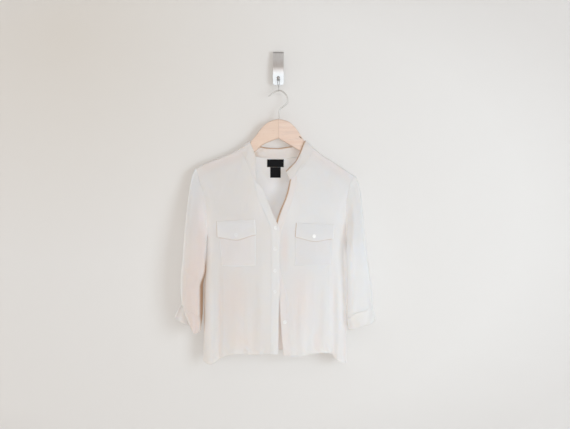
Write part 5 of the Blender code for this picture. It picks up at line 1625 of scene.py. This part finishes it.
def add_pockets():
    runs = []
    for side, wearer in SIDES:
        for name, node, (grid, _, z) in (
            ("pocket", f"pocket_{wearer}", pocket_grid(side)),
            ("flap", f"pocket_flap_{wearer}", flap_grid(side)),
        ):
            tones = patch_tones(side, name, grid, z)
            hang_sheet(f"{name}_{wearer}", node, grid, PATCH_SILK, [f"front_{wearer}_cloth"], **tones)
            # The grid runs from its outer edge to its inner one, so its normals turn over on the left side.
            last_row, last_column = grid.shape[0] - 1, grid.shape[1] - 1
            rows = (last_row - 1.2, 1.2) if name == "flap" else (last_row - 1.2,)
            runs += [column_run(grid, column, PATCH_SILK / 2, -side) for column in (1.1, last_column - 1.1)]
            runs += [row_run(grid, row, PATCH_SILK / 2, -side) for row in rows]
    add_stitches("pocket_stitches", runs)


def add_labels():
    label = tape_grid(LABEL_X, (LABEL_TOP, LABEL_BOTTOM), *LABEL_GRID)
    tab = tape_grid(TAB_X, (LABEL_BOTTOM - TAB_GAP, TAB_BOTTOM), *TAB_GRID)
    for name, grid in (("label", label), ("size_tab", tab)):
        hang_sheet(name, name, grid, TAPE, ["back_cloth"], finish="tape")
    runs = [column_run(label, column, TAPE / 2) for column in (0.6, LABEL_GRID[0] - 0.6)]
    add_stitches("label_stitches", runs, **LABEL_STITCH)


def button_plate():
    """A round plate with four holes, as a mesh."""
    plate = bpy.data.curves.new("plate", "CURVE")
    plate.dimensions = "2D"
    plate.fill_mode = "BOTH"
    plate.extrude = PLATE_HALF * BUTTON_THICK
    rings = [(0, 0, PLATE_RADIUS, 40)]
    rings += [(x * EYE_PLACE, y * EYE_PLACE, EYE_RADIUS, 12) for x in (-1, 1) for y in (-1, 1)]
    for x, y, reach, count in rings:
        ring = plate.splines.new("POLY")
        ring.points.add(count - 1)
        for k, place in enumerate(ring.points):
            angle = 2 * math.pi * k / count
            across, up = x + reach * math.cos(angle), y + reach * math.sin(angle)
            place.co = (BUTTON_RADIUS * across, BUTTON_RADIUS * up, 0, 1)
        ring.use_cyclic_u = True
    holder = add_object("plate", plate)
    bpy.context.view_layer.update()
    flat = bpy.data.meshes.new_from_object(holder.evaluated_get(bpy.context.evaluated_depsgraph_get()))
    bpy.data.objects.remove(holder)
    return flat


def button_mesh():
    """A turned rim round a lower plate with four holes."""
    rim = [(a * BUTTON_RADIUS, b * BUTTON_THICK) for a, b in BUTTON_RIM]
    points, faces = turned_mesh([*rim, rim[0]], 40)
    first = len(points)
    flat = button_plate()
    points += [(v.co.x, v.co.y, v.co.z - PLATE_DROP * BUTTON_THICK) for v in flat.vertices]
    faces += [tuple(first + i for i in face.vertices) for face in flat.polygons]
    bpy.data.meshes.remove(flat)
    return points, faces


def add_buttons():
    points, faces = button_mesh()
    spots = [(f"flap_button_{wearer}", side, FLAP_BUTTON[side], FLAP_FACE) for side, wearer in SIDES]
    spots += [(f"front_button_{i + 1}", -1, place, BAND_FACE) for i, place in enumerate(PLACKET_BUTTONS)]
    spots.append(("front_button_5", 1, LOOSE_BUTTON, BAND_FACE))
    runs = []
    for node, side, (x, z), lift in spots:
        base, centre = (on_front(side, x, z, height) for height in (0.0, lift + BUTTON_THICK / 2))
        normal = unit(centre - base)
        # The left flap's button takes the brighter copy of the pearl, a painted highlight.
        finish = "button_bright" if node == "flap_button_left" else "button"
        button = add_mesh(node.replace("button", "shell"), points, faces, finish, BUTTON_SHARP)
        stand_on(button, centre, normal)
        place_piece(button, "button", node)
        turn = button.rotation_euler.to_matrix()
        for y in (-1, 1):
            reach = y * EYE_PLACE * BUTTON_RADIUS
            ends = [(k * THREAD_REACH * BUTTON_RADIUS, reach, THREAD_LIFT) for k in (-1, 0, 1)]
            path = [centre + np.array(turn @ Vector(end)) for end in ends]
            runs.append((np.array(path), np.array([normal] * 3), 0.0))
    add_stitches("button_threads", runs, **BUTTON_THREAD)


def add_buttonholes():
    """Worked holes on the right band: a ring of close stitches round an upright slit."""
    angle = np.linspace(0, 2 * math.pi, 41)
    runs = []
    for x, z in BUTTONHOLES:
        ring_x, ring_z = x + SLIT_HALF_WIDTH * np.cos(angle), z + SLIT_HALF_HEIGHT * np.sin(angle)
        ring = on_front(-1, ring_x, ring_z, SLIT_LIFT)
        above, on_cloth = (on_front(-1, x + 0 * angle, z + 0 * angle, lift) for lift in (0.01, 0.0))
        runs.append((ring, unit(above - on_cloth), 0.0))
    add_stitches("buttonhole_stitches", runs, **BUTTONHOLE_STITCH)


# ---------------------------------------------------------------- room, light and camera

WALL_Y = 0.0006  # just behind the back of the strip
FLOOR_Z = -1.35
CEILING_Z = 3.0
ROOM_HALF_WIDTH = 4.0
FLOOR_REACH = 6.0
SKY_COLOUR = (0.99, 0.94, 0.90)
SKY_STRENGTH = 0.37
WINDOW_PLACE = (1.50, -2.00, -0.42)
WINDOW_SIZE = (0.95, 1.15)
WINDOW_COLOUR = (0.80, 0.905, 1.0)
LIT_PLACE = (0, 0, -0.45)  # what the lights look at
# Each light: its name, place, size, power, colour, and whether it casts shadows.
LIGHTS = (
    ("window", WINDOW_PLACE, WINDOW_SIZE, 21.6, WINDOW_COLOUR, True),
    ("window_soft", WINDOW_PLACE, WINDOW_SIZE, 8.2, WINDOW_COLOUR, False),
    ("softbox", (-0.05, -3.2, 0.65), (1.3, 0.55), 3.0, (0.85, 0.93, 1.0), True),
    ("top_box", (-0.1, -3.2, 1.95), (2.6, 0.9), 3.0, (1.0, 0.97, 0.93), True),
    ("fill_front", (0.1, -4.2, -0.3), (3.2, 3.2), 48.4, (1.0, 0.905, 0.835), False),
    ("fill_side", (-3.3, -0.9, -0.3), (2.0, 2.0), 34.0, (0.95, 0.92, 0.90), False),
)
CAMERA_PLACE = (0.0186, -1.940, -0.4081)
CAMERA_LENS = 43.64


def add_room():
    """A pale wall behind the part, and a pale floor under it."""
    wide, deep = (-ROOM_HALF_WIDTH, ROOM_HALF_WIDTH, ROOM_HALF_WIDTH, -ROOM_HALF_WIDTH), FLOOR_REACH
    wall = [(x, WALL_Y, z) for x, z in zip(wide, (FLOOR_Z, FLOOR_Z, CEILING_Z, CEILING_Z))]
    floor = [(x, y, FLOOR_Z) for x, y in zip(wide, (-deep, -deep, deep, deep))]
    back = add_mesh("wall", wall, [(0, 1, 2, 3)], "wall")
    ground = add_mesh("floor", floor, [(0, 1, 2, 3)], "floor")


def add_light():
    world = bpy.data.worlds.new("studio")
    bpy.context.scene.world = world
    world.use_nodes = True
    background = world.node_tree.nodes["Background"]
    background.inputs["Color"].default_value = (*SKY_COLOUR, 1)
    background.inputs["Strength"].default_value = SKY_STRENGTH
    for name, place, size, power, colour, shadow in LIGHTS:
        light = bpy.data.lights.new(name, "AREA")
        light.use_shadow = shadow
        light.shape = "RECTANGLE"
        light.size, light.size_y = size
        light.energy = power
        light.color = colour
        lamp = add_object(name, light)
        lamp.location = place
        lamp.rotation_euler = (Vector(LIT_PLACE) - Vector(place)).to_track_quat("-Z", "Y").to_euler()


def add_camera():
    camera = bpy.data.cameras.new("camera")
    camera.sensor_width = 36
    camera.lens = CAMERA_LENS
    holder = add_object("camera", camera)
    holder.location = CAMERA_PLACE
    holder.rotation_euler = (math.pi / 2, 0, 0)
    bpy.context.scene.camera = holder


bpy.context.scene.view_settings.view_transform = "Standard"
add_camera()
add_light()
add_room()
add_strip()
add_pin()
add_loop()
add_hanger()
add_body()
add_collar_and_bands()
add_sleeves()
add_pockets()
add_labels()
add_buttons()
add_buttonholes()
